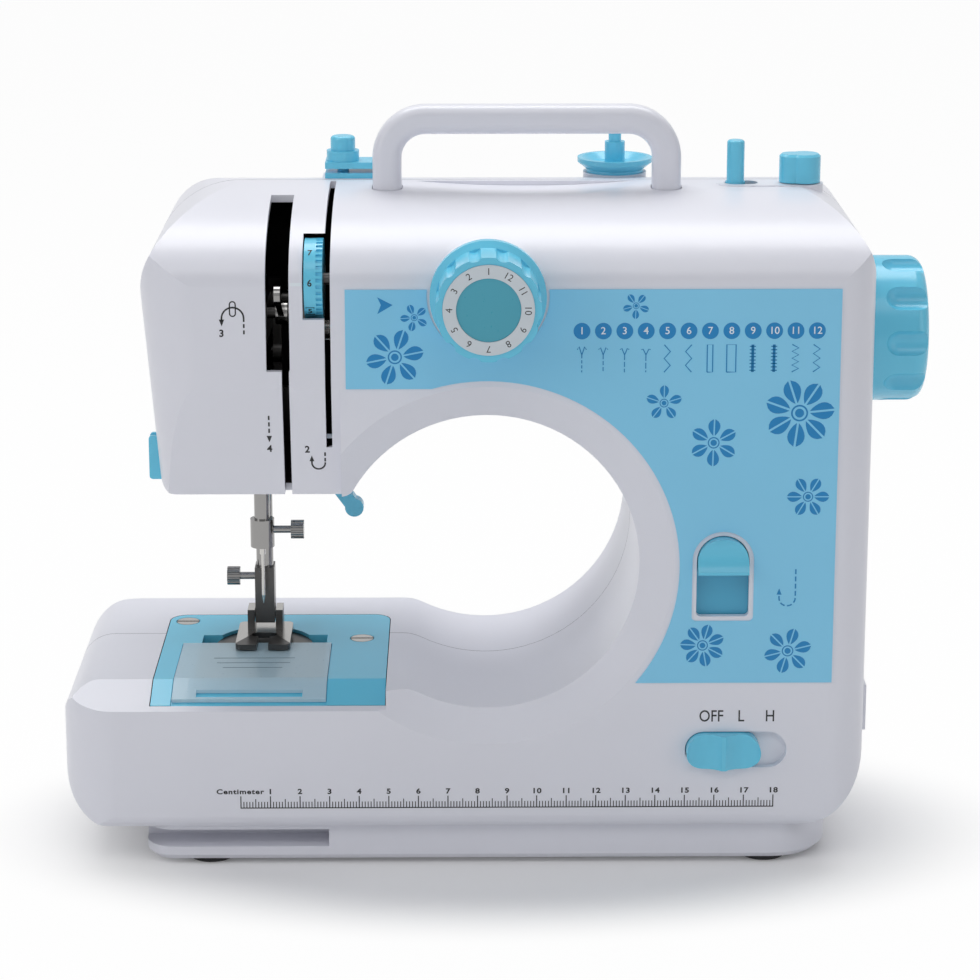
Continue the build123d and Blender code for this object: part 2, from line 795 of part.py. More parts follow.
def wall_openings():
    """Everything cut through the walls of the housing."""
    ahead = BODY_FRONT - WALL
    above = BODY_TOP + WALL
    below = ARM_BOTTOM - WALL
    floor_top = ARM_BOTTOM + 2 * WALL
    slope = BODY_FRONT + HEAD_SLOPE_DEPTH + 2 * WALL
    speed_middle = Pos((SPEED_LEFT + SPEED_RIGHT) / 2, (SPEED_LOW + SPEED_HIGH) / 2)
    winder_middle = Pos(WINDER_X + WINDER_TRAVEL / 2, WINDER_Y)
    window_back = TENSION_Y + TENSION_RADIUS / 3
    winder_width = 2 * (WINDER_STEM_RADIUS + SEAT_GAP)
    thin_roof = BODY_TOP - 2 * WALL
    chord = HANDLE_RECESS_LENGTH / 2
    recess_radius = (chord ** 2 + HANDLE_RECESS_DEPTH ** 2) / (2 * HANDLE_RECESS_DEPTH)
    recess_x = (HANDLE_LEFT + HANDLE_RIGHT) / 2
    recess_z = BODY_TOP - HANDLE_RECESS_DEPTH + recess_radius
    openings = [
        block(TAKE_UP_SLOT_LEFT, TAKE_UP_SLOT_RIGHT, ahead, TAKE_UP_SLOT_BACK, TAKE_UP_SLOT_LOW, above),
        block(THREAD_SLIT_LEFT, THREAD_SLIT_RIGHT, ahead, slope, below, TAKE_UP_SLOT_LOW + WALL),
        block(TENSION_SLIT_LEFT, TENSION_SLIT_RIGHT, ahead, TENSION_SLIT_BACK, TENSION_SLIT_LOW, above),
        block(
            TENSION_WINDOW_LEFT, TENSION_SLIT_RIGHT, ahead, window_back,
            TENSION_WINDOW_LOW, TENSION_WINDOW_HIGH),
        rod_y(DIAL_SHAFT_RADIUS + SEAT_GAP, ahead, DIAL_BOSS_BACK + WALL, DIAL_X, DIAL_Z),
        along_y(reverse_window(0), ahead, BODY_FRONT + 2 * WALL),
        along_y(speed_middle * SlotOverall(SPEED_RIGHT - SPEED_LEFT, SPEED_HIGH - SPEED_LOW), ahead,
                BODY_FRONT + 2 * WALL),
        plate_form(SEAT_GAP, PLATE_THICKNESS),
        rod_z(NEEDLE_BAR_RADIUS + BAR_HOLE_GAP, below, floor_top, NEEDLE_X, NEEDLE_Y),
        rod_z(PRESSER_RADIUS + BAR_HOLE_GAP, below, floor_top, NEEDLE_X, PRESSER_Y),
        rod_z(LAMP_RADIUS, below, floor_top, LAMP_X, LAMP_Y),
        block(
            LIFTER_X - LIFTER_WIDTH, LIFTER_SLOT_RIGHT,
            LIFTER_FRONT - 2 * SEAT_GAP, LIFTER_BACK + 2 * SEAT_GAP,
              below, floor_top),
        rod_y(recess_radius, HANDLE_Y - HANDLE_DEPTH, HANDLE_Y + HANDLE_DEPTH, recess_x, recess_z),
        rod_z(SPOOL_STEM_RADIUS + SEAT_GAP, BODY_TOP - SPOOL_PAD_DEPTH - 1, above, SPOOL_X, SPOOL_Y),
        along_z(winder_middle * SlotOverall(winder_width + WINDER_TRAVEL, winder_width), thin_roof, above),
        rod_z(STOP_STEM_RADIUS + SEAT_GAP, thin_roof - WALL, above, STOP_X, WINDER_Y),
        rod_x(SHAFT_RADIUS + SEAT_GAP, BODY_RIGHT - 2 * WALL, BODY_RIGHT + WALL, SHAFT_Y, SHAFT_Z),
        block(BODY_RIGHT - 2 * WALL, BODY_RIGHT + WALL, JACK_FRONT, JACK_BACK, JACK_LOW, JACK_HIGH),
    ]
    for x in handle_legs():
        leg = Pos(x, HANDLE_Y) * leg_profile(SLIDE_GAP)
        openings.append(along_z(leg, thin_roof, above))
    for x, z in screw_places():
        openings.append(rod_y(SCREW_RADIUS, SEAM_Y - SCREW_BITE, BODY_BACK + WALL, x, z))
        openings.append(rod_y(SCREW_HEAD_RADIUS + SEAT_GAP, BODY_BACK - SCREW_SINK, BODY_BACK + WALL, x, z))
    return openings


def roof_pads():
    """Flat seats on the crowned roof for the spool, the winder, its stop and the thread guide."""
    low = BODY_TOP - ROOF_PAD_DEPTH
    winder_left = WINDER_X - WINDER_WHEEL_RADIUS
    stop_right = STOP_X + STOP_RADIUS + ROOF_PAD_MARGIN
    winder_half = STOP_RADIUS + ROOF_PAD_MARGIN
    winder_place = Pos((winder_left + stop_right) / 2, WINDER_Y)
    winder_seat = winder_place * SlotOverall(stop_right - winder_left, 2 * winder_half)
    guide_left = GUIDE_X - GUIDE_WIDTH / 2
    guide_seat = Pos(guide_left + GUIDE_LENGTH / 2, GUIDE_Y) * RectangleRounded(
        GUIDE_LENGTH + 2 * ROOF_PAD_MARGIN, GUIDE_WIDTH + 2 * ROOF_PAD_MARGIN, ROOF_PAD_MARGIN)
    spool_radius = SPOOL_BUSH_RADIUS + ROOF_PAD_MARGIN
    spool_seat = rod_z(spool_radius, BODY_TOP - SPOOL_PAD_DEPTH, BODY_TOP, SPOOL_X, SPOOL_Y)
    return [along_z(winder_seat, low, BODY_TOP), along_z(guide_seat, low, BODY_TOP), spool_seat]


def leg_profile(grow):
    width = HANDLE_BAR + 2 * grow
    depth = HANDLE_DEPTH + 2 * grow
    return RectangleRounded(width, depth, HANDLE_LEG_ROUND)


def housing():
    """Hollow housing with its inner pillars and openings."""
    outer = body_form(0)
    shell = outer - body_form(WALL)
    inner = [rod_y(BOSS_RADIUS + WALL, BODY_FRONT + WALL / 2, BODY_BACK - WALL / 2, x, z)
             for x, z in screw_places()]
    inner.append(plate_rails())
    inner.append(tension_rib())
    inner.extend(frame_bosses())
    for piece in inner:
        shell = shell + (piece & outer)
    for pad in roof_pads():
        shell = shell + pad
    shell = shell + rod_y(DIAL_BASE_RADIUS - WALL, BODY_FRONT, DIAL_BOSS_BACK, DIAL_X, DIAL_Z)
    return shell - wall_openings()


body = housing()
front_half = block(-FAR, FAR, -FAR, SEAM_Y, -FAR, FAR)
write("front_shell", body & front_half)
write("rear_shell", body - front_half)


# Base and feet
def base_tray():
    """Pedestal under the housing with its finger slot."""
    front = BODY_FRONT + BASE_INSET
    back = BODY_BACK - BASE_INSET
    view = outline([
        (BASE_LEFT, front, BASE_CORNER_ROUND / 2),
        (BASE_RIGHT, front, BASE_CORNER_ROUND),
        (BASE_RIGHT, back, BASE_CORNER_ROUND),
        (BASE_LEFT, back, BASE_CORNER_ROUND / 2),
    ])
    inner = offset(view, amount=-WALL, kind=Kind.ARC)
    tray = along_z(view, FOOT_HEIGHT, BODY_BOTTOM)
    low_edge = tray.faces().sort_by(Axis.Z)[0].edges()
    tray = chamfer(low_edge, BASE_CHAMFER)
    tray = tray - along_z(inner, FOOT_HEIGHT + 2 * WALL, BODY_BOTTOM)
    slot = block(BASE_LEFT - WALL, FINGER_SLOT_RIGHT, front - WALL, front + FINGER_SLOT_DEPTH,
                 FINGER_SLOT_LOW, FINGER_SLOT_HIGH)
    pocket = block(BASE_LEFT - WALL, FINGER_SLOT_RIGHT + WALL, front - WALL,
                   front + FINGER_SLOT_DEPTH + WALL, FOOT_HEIGHT + WALL, BODY_BOTTOM)
    tray = tray + (pocket & along_z(view, FOOT_HEIGHT + WALL, BODY_BOTTOM))
    tray = tray - slot
    for x, y in foot_places():
        tray = tray - rod_z(FOOT_RADIUS, 0, FOOT_HEIGHT + FOOT_SINK, x, y)
    return tray


def foot_places():
    front = BODY_FRONT + BASE_INSET + FOOT_INSET / 2
    back = BODY_BACK - BASE_INSET - FOOT_INSET / 2
    return [(x, y) for x in (BASE_LEFT + FOOT_INSET, BASE_RIGHT - FOOT_INSET) for y in (front, back)]


def rubber_feet():
    feet = []
    for x, y in foot_places():
        foot = rod_z(FOOT_RADIUS - SEAT_GAP, 0, FOOT_HEIGHT + FOOT_SINK, x, y)
        feet.append(chamfer(foot.faces().sort_by(Axis.Z)[0].edges(), FOOT_SINK))
    return Compound(children=feet)


write("base_tray", base_tray())
write("rubber_feet", rubber_feet())


# Front panel film
def front_panel():
    width = PANEL_RIGHT - PANEL_LEFT
    height = PANEL_TOP - PANEL_BOTTOM
    film = Pos((PANEL_LEFT + PANEL_RIGHT) / 2, (PANEL_TOP + PANEL_BOTTOM) / 2) * Rectangle(width, height)
    left_room = ARCH_X - PANEL_LEFT
    below = PANEL_ARM_BOTTOM - PANEL_BOTTOM
    film = film - Pos(PANEL_LEFT + left_room / 2, PANEL_BOTTOM + below / 2) * Rectangle(left_room, below)
    film = film - Pos(ARCH_X, ARCH_Z) * Circle(PANEL_ARCH_RADIUS)
    film = film - Pos(DIAL_X, DIAL_Z) * Circle(DIAL_BASE_RADIUS + 1)
    film = film - reverse_window(REVERSE_CORNER)
    return along_y(film, BODY_FRONT - PANEL_THICKNESS, BODY_FRONT)


write("front_panel", front_panel())


# Pattern dial
def pattern_dial():
    base = BODY_FRONT - SEAT_GAP
    step = base - DIAL_BASE_LENGTH
    face = BODY_FRONT - DIAL_LENGTH + DIAL_RING_PROUD
    grip = Circle(DIAL_GRIP_RADIUS)
    for index in range(DIAL_LOBES):
        turn = 2 * math.pi * (index + 0.5) / DIAL_LOBES
        reach = DIAL_GRIP_RADIUS + DIAL_SCALLOP_OUT
        grip = grip - Pos(reach * math.sin(turn), reach * math.cos(turn)) * Circle(DIAL_SCALLOP_RADIUS)
    place = Pos(DIAL_X, DIAL_Z)
    knob = along_y(place * grip, face, step)
    flange = rod_y(DIAL_BASE_RADIUS, step, base, DIAL_X, DIAL_Z)
    flange = chamfer(flange.faces().sort_by(Axis.Y)[0].edges(), DIAL_BASE_RADIUS - DIAL_GRIP_RADIUS)
    shaft = rod_y(DIAL_SHAFT_RADIUS, base, DIAL_BOSS_BACK + CAM_LENGTH + 2 * WALL, DIAL_X, DIAL_Z)
    return knob + flange + shaft - dial_ring_form(TURN_GAP)


def dial_ring_form(grow):
    face = BODY_FRONT - DIAL_LENGTH
    ring = Circle(DIAL_RING_OUTER + grow) - Circle(DIAL_RING_INNER - grow)
    return along_y(Pos(DIAL_X, DIAL_Z) * ring, face, face + 3 * DIAL_RING_PROUD)


def stitch_cam():
    """Stack of three eccentric cams behind the dial."""
    start = DIAL_BOSS_BACK + WALL
    step = CAM_LENGTH / 3
    cam = None
    for index in range(3):
        turn = math.radians(CAM_TURN * index)
        shift = Pos(DIAL_X + math.sin(turn), DIAL_Z + math.cos(turn))
        profile = shift * Ellipse(CAM_RADIUS - 2, CAM_RADIUS - 2 - index)
        disc = along_y(profile, start + index * step, start + (index + 1) * step)
        cam = disc if cam is None else cam + disc
    return cam - rod_y(DIAL_SHAFT_RADIUS + TURN_GAP, start - WALL, start + CAM_LENGTH + WALL, DIAL_X, DIAL_Z)


write("pattern_dial", pattern_dial())
write("dial_ring", dial_ring_form(0))
write("stitch_cam", stitch_cam())


# Thread tension wheel
def tension_wheel():
    left = TENSION_WINDOW_LEFT + TENSION_SIDE_GAP
    right = TENSION_SLIT_LEFT - TENSION_SIDE_GAP
    step = left + (right - left) * TENSION_SMOOTH_SHARE
    place = Pos(TENSION_Y, TENSION_Z)
    smooth = Circle(TENSION_RADIUS)
    teeth = Circle(TENSION_RADIUS)
    for index in range(TENSION_TEETH):
        turn = 2 * math.pi * index / TENSION_TEETH
        tooth = Pos(TENSION_RADIUS * math.cos(turn), TENSION_RADIUS * math.sin(turn))
        teeth = teeth - tooth * Rot(0, 0, math.degrees(turn)) * Rectangle(TENSION_TOOTH, TENSION_TOOTH)
    wheel = along_x(place * smooth, left, step) + along_x(place * teeth, step, right)
    return wheel - rod_x(PIN_RADIUS + TURN_GAP, left - 1, right + 1, TENSION_Y, TENSION_Z)


write("tension_wheel", tension_wheel())


# Take-up lever
def take_up_lever():
    """Flat lever with a hub and an eye, seen along X."""
    lean = math.radians(TAKE_UP_ANGLE)
    tip = Vector(-TAKE_UP_LENGTH * math.cos(lean), TAKE_UP_LENGTH * math.sin(lean))
    middle = Pos(TAKE_UP_Y + tip.X / 2, TAKE_UP_Z + tip.Y / 2)
    arm = middle * Rot(0, 0, -TAKE_UP_ANGLE) * Rectangle(TAKE_UP_LENGTH, TAKE_UP_WIDTH)
    eye = Pos(TAKE_UP_Y + tip.X, TAKE_UP_Z + tip.Y)
    profile = arm + Pos(TAKE_UP_Y, TAKE_UP_Z) * Circle(TAKE_UP_HUB) + eye * Circle(TAKE_UP_TIP)
    profile = profile - eye * Circle(TAKE_UP_EYE)
    left = TAKE_UP_X - TAKE_UP_THICKNESS / 2
    right = TAKE_UP_X + TAKE_UP_THICKNESS / 2
    lever = along_x(profile, left, right)
    lever = lever + rod_x(TAKE_UP_HUB, left - 1, right + 1, TAKE_UP_Y, TAKE_UP_Z)
    return lever - rod_x(PIN_RADIUS + TURN_GAP, left - 2, right + 2, TAKE_UP_Y, TAKE_UP_Z)


write("take_up_lever", take_up_lever())


# Carrying handle
def carrying_handle():
    outer = outline([
        (HANDLE_LEFT, HANDLE_LEG_LOW, 0),
        (HANDLE_RIGHT, HANDLE_LEG_LOW, 0),
        (HANDLE_RIGHT, HANDLE_TOP, HANDLE_CORNER),
        (HANDLE_LEFT, HANDLE_TOP, HANDLE_CORNER),
    ])
    inner = outline([
        (HANDLE_LEFT + HANDLE_BAR, HANDLE_LEG_LOW, 0),
        (HANDLE_RIGHT - HANDLE_BAR, HANDLE_LEG_LOW, 0),
        (HANDLE_RIGHT - HANDLE_BAR, HANDLE_TOP - HANDLE_BAR, HANDLE_CORNER - HANDLE_BAR),
        (HANDLE_LEFT + HANDLE_BAR, HANDLE_TOP - HANDLE_BAR, HANDLE_CORNER - HANDLE_BAR),
    ])
    handle = along_y(outer - inner, HANDLE_Y - HANDLE_DEPTH / 2, HANDLE_Y + HANDLE_DEPTH / 2)
    long_edges = [
        edge
        for face in (handle.faces().sort_by(Axis.Y)[0], handle.faces().sort_by(Axis.Y)[-1])
        for edge in face.edges()
        if edge.bounding_box().max.Z > HANDLE_LEG_LOW + 1
    ]
    return fillet(long_edges, HANDLE_LEG_ROUND)


write("carrying_handle", carrying_handle())


# Spool holder
def spool_dish():
    low = BODY_TOP + SPOOL_BUSH_HEIGHT
    high = low + SPOOL_DISH_HEIGHT
    rim = SPOOL_DISH_RADIUS
    bore = SPOOL_STEM_RADIUS + TURN_GAP
    post = SPOOL_POST_RADIUS
    section = make_face(Polyline(
        (bore, low),
        (SPOOL_BUSH_RADIUS, low),
        (rim, low + SPOOL_DISH_RISE),
        (rim, high),
        (rim - SPOOL_DISH_RIM, high),
        (SPOOL_BUSH_RADIUS - SPOOL_DISH_FLOOR, low + SPOOL_DISH_FLOOR),
        (post, low + SPOOL_DISH_FLOOR),
        (post, high + SPOOL_POST_HEIGHT),
        (bore, high + SPOOL_POST_HEIGHT),
        close=True,
    ))
    return Pos(SPOOL_X, SPOOL_Y, 0) * revolve(Plane.XZ * section, Axis.Z)


def spool_bush():
    bush = rod_z(SPOOL_BUSH_RADIUS, BODY_TOP, BODY_TOP + SPOOL_BUSH_HEIGHT, SPOOL_X, SPOOL_Y)
    return bush - rod_z(SPOOL_STEM_RADIUS + TURN_GAP, BODY_TOP - 1, BODY_TOP + FAR, SPOOL_X, SPOOL_Y)


def spool_pin():
    """Thin pin for the thread spool on a thicker stem that fills the dish and the bush."""
    post_top = BODY_TOP + SPOOL_BUSH_HEIGHT + SPOOL_DISH_HEIGHT + SPOOL_POST_HEIGHT
    pin = rod_z(SPOOL_PIN_RADIUS, BODY_TOP, SPOOL_PIN_TOP, SPOOL_X, SPOOL_Y)
    pin = fillet(pin.faces().sort_by(Axis.Z)[-1].edges(), SPOOL_PIN_RADIUS / 2)
    return pin + rod_z(SPOOL_STEM_RADIUS, BODY_TOP - 2 * WALL, post_top, SPOOL_X, SPOOL_Y)


write("spool_bush", spool_bush())
write("spool_dish", spool_dish())
write("spool_pin", spool_pin())


# Bobbin winder
def winder_carriage():
    """Plate that slides under the roof with the spindle."""
    high = BODY_TOP - WALL - ROOF_DROP
    low = high - CARRIAGE_HEIGHT
    half = WINDER_RADIUS + 2 * WALL
    plate = block(WINDER_X - half, WINDER_X + half, WINDER_Y - half, WINDER_Y + half, low, high)
    return plate - rod_z(WINDER_STEM_RADIUS + TURN_GAP, low - 1, high + 1, WINDER_X, WINDER_Y)


def winder_spindle():
    """Pin for the bobbin on a thicker stem with a friction wheel under the carriage."""
    high = BODY_TOP - WALL - ROOF_DROP - CARRIAGE_HEIGHT - SLIDE_GAP
    low = high - CARRIAGE_HEIGHT
    spindle = rod_z(WINDER_RADIUS, BODY_TOP, WINDER_TOP, WINDER_X, WINDER_Y)
    spindle = fillet(spindle.faces().sort_by(Axis.Z)[-1].edges(), WINDER_RADIUS / 3)
    spindle = spindle + rod_z(WINDER_STEM_RADIUS, low, BODY_TOP + WINDER_STEP, WINDER_X, WINDER_Y)
    return spindle + rod_z(WINDER_WHEEL_RADIUS, low, high, WINDER_X, WINDER_Y)


def winder_stop():
    low = BODY_TOP + SEAT_GAP
    nose = Pos(STOP_X - STOP_NOSE / 2, WINDER_Y)
    profile = Pos(STOP_X, WINDER_Y) * Circle(STOP_RADIUS) + nose * Circle(STOP_RADIUS - 1)
    head = along_z(profile, low, STOP_TOP)
    head = chamfer(head.faces().sort_by(Axis.Z)[-1].edges(), STOP_CHAMFER)
    return head + rod_z(STOP_STEM_RADIUS, BODY_TOP - 3 * WALL, low, STOP_X, WINDER_Y)


write("winder_carriage", winder_carriage())
write("winder_spindle", winder_spindle())
write("winder_stop", winder_stop())


# Upper thread guide
def thread_guide():
    left = GUIDE_X - GUIDE_WIDTH / 2
    right = left + GUIDE_LENGTH
    front = GUIDE_Y - GUIDE_WIDTH / 2
    back = GUIDE_Y + GUIDE_WIDTH / 2
    gap_low = BODY_TOP + GUIDE_BASE_HEIGHT
    gap_high = GUIDE_TOP - GUIDE_PLATE
    guide = block(left, right, front, back, BODY_TOP, GUIDE_TOP)
    guide = guide - block(left - 1, right - GUIDE_WIDTH / 3, front - 1, back + 1, gap_low, gap_high)
    guide = guide + rod_z(GUIDE_STEM_RADIUS, BODY_TOP, GUIDE_TOP, GUIDE_X, GUIDE_Y)
    guide = guide + rod_z(GUIDE_COLLAR_RADIUS, GUIDE_TOP, GUIDE_TOP + GUIDE_COLLAR_HEIGHT, GUIDE_X, GUIDE_Y)
    return guide


def pretension_cap():
    cap = rod_z(GUIDE_CAP_RADIUS, GUIDE_TOP + GUIDE_COLLAR_HEIGHT, GUIDE_CAP_TOP, GUIDE_X, GUIDE_Y)
    return fillet(cap.faces().sort_by(Axis.Z)[-1].edges(), GUIDE_COLLAR_HEIGHT / 3)


write("thread_guide", thread_guide())
write("pretension_cap", pretension_cap())


# Handwheel
def handwheel():
    inner = BODY_RIGHT + HANDWHEEL_GAP
    rim = HANDWHEEL_RADIUS
    section = outline([
        (inner, 0, 0),
        (HANDWHEEL_RIGHT, 0, 0),
        (HANDWHEEL_RIGHT - HANDWHEEL_DOME, rim, HANDWHEEL_EDGE_ROUND),
        (inner, rim, HANDWHEEL_BACK_ROUND),
    ])
    wheel = Pos(0, SHAFT_Y, SHAFT_Z) * revolve(section, Axis.X)
    start = inner + (HANDWHEEL_RIGHT - inner) * HANDWHEEL_DIMPLE_SHARE
    for index in range(HANDWHEEL_DIMPLES):
        turn = 2 * math.pi * index / HANDWHEEL_DIMPLES
        reach = rim + HANDWHEEL_DIMPLE_RADIUS * HANDWHEEL_DIMPLE_SHARE
        y = SHAFT_Y + reach * math.cos(turn)
        z = SHAFT_Z + reach * math.sin(turn)
        dimple = rod_x(HANDWHEEL_DIMPLE_RADIUS, start, HANDWHEEL_RIGHT + 1, y, z)
        wheel = wheel - dimple - Pos(start, y, z) * Sphere(HANDWHEEL_DIMPLE_RADIUS)
    return wheel - rod_x(SHAFT_RADIUS + TURN_GAP, 0, BODY_RIGHT + HANDWHEEL_BORE, SHAFT_Y, SHAFT_Z)


write("handwheel", handwheel())


# Reverse lever and speed slider
def reverse_lever():
    """Plate behind the window with a scooped thumb piece in it."""
    inside = BODY_FRONT + WALL + SLIDE_GAP
    low = REVERSE_LOW - REVERSE_PLATE_MARGIN
    high = REVERSE_HIGH + REVERSE_TRAVEL + REVERSE_CORNER
    left = REVERSE_LEFT - REVERSE_PLATE_MARGIN
    right = REVERSE_RIGHT + REVERSE_PLATE_MARGIN
    plate = block(left, right, inside, inside + REVERSE_PLATE_THICKNESS, low, high)
    knob_low = REVERSE_HIGH - REVERSE_KNOB_HEIGHT
    front = BODY_FRONT - REVERSE_PROUD
    knob = along_y(reverse_window(-SLIDE_GAP), front, inside)
    knob = knob & block(-FAR, FAR, -FAR, FAR, knob_low, FAR)
    scoop_y = front - REVERSE_SCOOP_RADIUS * REVERSE_SCOOP_OUT
    scoop = rod_x(REVERSE_SCOOP_RADIUS, left, right, scoop_y, knob_low + REVERSE_SCOOP_RISE)
    return plate + (knob - scoop)


def speed_slider():
    inside = BODY_FRONT + WALL - SLIDE_GAP
    front = BODY_FRONT - SPEED_PROUD
    height = SPEED_HIGH - SPEED_LOW - 2 * SLIDE_GAP
    x = SPEED_LEFT + SLIDE_GAP + SPEED_SLIDER_LENGTH / 2
    z = (SPEED_LOW + SPEED_HIGH) / 2
    slider = along_y(Pos(x, z) * SlotOverall(SPEED_SLIDER_LENGTH, height), front, inside)
    for side in (-1, 1):
        scoop_x = x + side * SPEED_SCOOP_SPACING
        slider = slider - rod_z(SPEED_SCOOP_RADIUS, 0, BODY_TOP, scoop_x, front - SPEED_SCOOP_OUT)
    return slider


def circuit_board():
    """Board that carries the speed switch behind its slot."""
    inside = BODY_FRONT + WALL
    switch = block(
        SPEED_LEFT - 1, SPEED_RIGHT + 1, inside, inside + SWITCH_DEPTH, SPEED_LOW - 1, SPEED_HIGH + 1)
    board = block(SPEED_LEFT - BOARD_MARGIN, SPEED_RIGHT + 1, inside + SWITCH_DEPTH,
                  inside + SWITCH_DEPTH + BOARD_THICKNESS, SPEED_LOW - 1, SPEED_HIGH + BOARD_MARGIN)
    return switch + board


def jack_block():
    """Socket block on the right wall with a power and a pedal jack."""
    flange = block(BODY_RIGHT, BODY_RIGHT + JACK_PROUD, JACK_FRONT - JACK_PROUD, JACK_BACK + JACK_PROUD,
                   JACK_LOW - JACK_PROUD, JACK_HIGH + JACK_PROUD)
    inner = block(BODY_RIGHT - JACK_DEPTH, BODY_RIGHT, JACK_FRONT + SEAT_GAP, JACK_BACK - SEAT_GAP,
                  JACK_LOW + SEAT_GAP, JACK_HIGH - SEAT_GAP)
    jacks = flange + inner
    for radius, y in ((POWER_JACK_RADIUS, POWER_JACK_Y), (PEDAL_JACK_RADIUS, PEDAL_JACK_Y)):
        start = BODY_RIGHT + JACK_PROUD - JACK_BORE
        jacks = jacks - rod_x(radius, start, BODY_RIGHT + FAR, y, (JACK_LOW + JACK_HIGH) / 2)
    return jacks


write("reverse_lever", reverse_lever())
write("speed_slider", speed_slider())
write("circuit_board", circuit_board())
write("jack_block", jack_block())


# Lamp, thread cutter and lifter on the head
def lamp_lens():
    low = ARM_BOTTOM - LAMP_PROUD
    lens = rod_z(LAMP_RADIUS - SEAT_GAP, low, low + 3 * LAMP_PROUD, LAMP_X, LAMP_Y)
    return fillet(lens.faces().sort_by(Axis.Z)[0].edges(), LAMP_PROUD / 2)


def thread_cutter():
    left = HEAD_BOTTOM_LEFT - CUTTER_PROUD - 1
    cutter = block(left, HEAD_BOTTOM_LEFT + 1, CUTTER_FRONT, CUTTER_BACK, CUTTER_LOW, CUTTER_HIGH)
    corner = cutter.edges().filter_by(Axis.Y).group_by(Axis.X)[0]
    cutter = fillet(corner, CUTTER_PROUD / 3)
    middle = (CUTTER_FRONT + CUTTER_BACK) / 2
    notch = make_face(Polyline(
        (middle - CUTTER_NOTCH, CUTTER_HIGH + 1),
        (middle + CUTTER_NOTCH, CUTTER_HIGH + 1),
        (middle, CUTTER_HIGH - CUTTER_NOTCH_DEPTH),
        close=True,
    ))
    cutter = cutter - along_x(notch, left - 1, HEAD_BOTTOM_LEFT - CUTTER_PROUD / 2)
    return cutter - body_form(0)


def lifter_lever():
    """Lever that hangs below the arm, with a ribbed tip and a round end."""
    lean = math.radians(LIFTER_ANGLE)
    tip_x = LIFTER_X + LIFTER_LENGTH * math.sin(lean)
    tip_z = LIFTER_Z - LIFTER_LENGTH * math.cos(lean)
    arm = Pos((LIFTER_X + tip_x) / 2, (LIFTER_Z + tip_z) / 2) * Rot(0, 0, LIFTER_ANGLE)
    profile = arm * Rectangle(LIFTER_WIDTH, LIFTER_LENGTH)
    for index in range(LIFTER_RIBS):
        along = LIFTER_LENGTH / 2 - LIFTER_WIDTH - index * LIFTER_RIB_STEP
        profile = profile - arm * Pos(LIFTER_WIDTH / 2, -along) * Circle(LIFTER_RIB_STEP / 4)
    lever = along_y(profile, LIFTER_FRONT, LIFTER_BACK)
    lever = lever + rod_y(LIFTER_WIDTH, LIFTER_FRONT, LIFTER_BACK, LIFTER_X, LIFTER_Z)
    lever = lever + rod_y(LIFTER_TIP_RADIUS, LIFTER_FRONT, LIFTER_BACK, tip_x, tip_z)
    return lever - rod_y(PIN_RADIUS + TURN_GAP, LIFTER_FRONT - 1, LIFTER_BACK + 1, LIFTER_X, LIFTER_Z)


def pivot_pins():
    """Pins for the tension wheel, the take-up lever and the lifter."""
    hub = TAKE_UP_X + TAKE_UP_THICKNESS
    tension_left = TENSION_WINDOW_LEFT - 1
    return Compound(children=[
        rod_x(PIN_RADIUS, tension_left, TENSION_RIB_LEFT, TENSION_Y, TENSION_Z),
        rod_x(PIN_RADIUS, TAKE_UP_BRACKET_RIGHT, hub + 1, TAKE_UP_Y, TAKE_UP_Z),
        rod_y(PIN_RADIUS, FRAME_BACK, LIFTER_BACK + 1, LIFTER_X, LIFTER_Z),
    ])


write("lamp_lens", lamp_lens())
write("thread_cutter", thread_cutter())
write("lifter_lever", lifter_lever())
write("pivot_pins", pivot_pins())


# Needle bar
def needle_bar():
    """Needle bar with the stud that the crank link turns on."""
    bar = rod_z(NEEDLE_BAR_RADIUS, NEEDLE_BAR_LOW, NEEDLE_BAR_TOP, NEEDLE_X, NEEDLE_Y)
    middle = link_low()
    collar = rod_z(CARRIER_RADIUS, middle - CARRIER_RADIUS, middle + CARRIER_RADIUS, NEEDLE_X, NEEDLE_Y)
    stud = rod_x(LINK_PIN_RADIUS, NEEDLE_X, LINK_RIGHT, NEEDLE_Y, middle)
    return bar + collar + stud


def link_high():
    return SHAFT_Z + CRANK_THROW


def link_low():
    return link_high() - LINK_LENGTH


def needle_link():
    """Crank link beside the needle bar, its upper eye at the crank pin."""
    low = Pos(NEEDLE_Y, link_low())
    high = Pos(NEEDLE_Y, link_high())
    eye = LINK_PIN_RADIUS + 1.5
    web = Pos(NEEDLE_Y, (link_low() + link_high()) / 2) * Rectangle(2 * LINK_PIN_RADIUS, LINK_LENGTH)
    profile = web + low * Circle(eye) + high * Circle(eye)
    profile = profile - low * Circle(LINK_PIN_RADIUS + TURN_GAP) - high * Circle(LINK_PIN_RADIUS + TURN_GAP)
    return along_x(profile, LINK_LEFT, LINK_RIGHT)


def needle_clamp():
    clamp = rod_z(CLAMP_RADIUS, CLAMP_LOW, CLAMP_HIGH, NEEDLE_X, NEEDLE_Y)
    clamp = clamp - rod_z(NEEDLE_BAR_RADIUS, NEEDLE_BAR_LOW, CLAMP_HIGH + 1, NEEDLE_X, NEEDLE_Y)
    clamp = clamp - rod_z(NEEDLE_SHANK_RADIUS, 0, NEEDLE_BAR_LOW + 1, NEEDLE_X, NEEDLE_Y)
    hole = rod_x(CLAMP_SCREW_RADIUS + TURN_GAP, NEEDLE_X, FAR, NEEDLE_Y, clamp_middle())
    return clamp - hole


def clamp_middle():
    return (CLAMP_LOW + CLAMP_HIGH) / 2 + 1


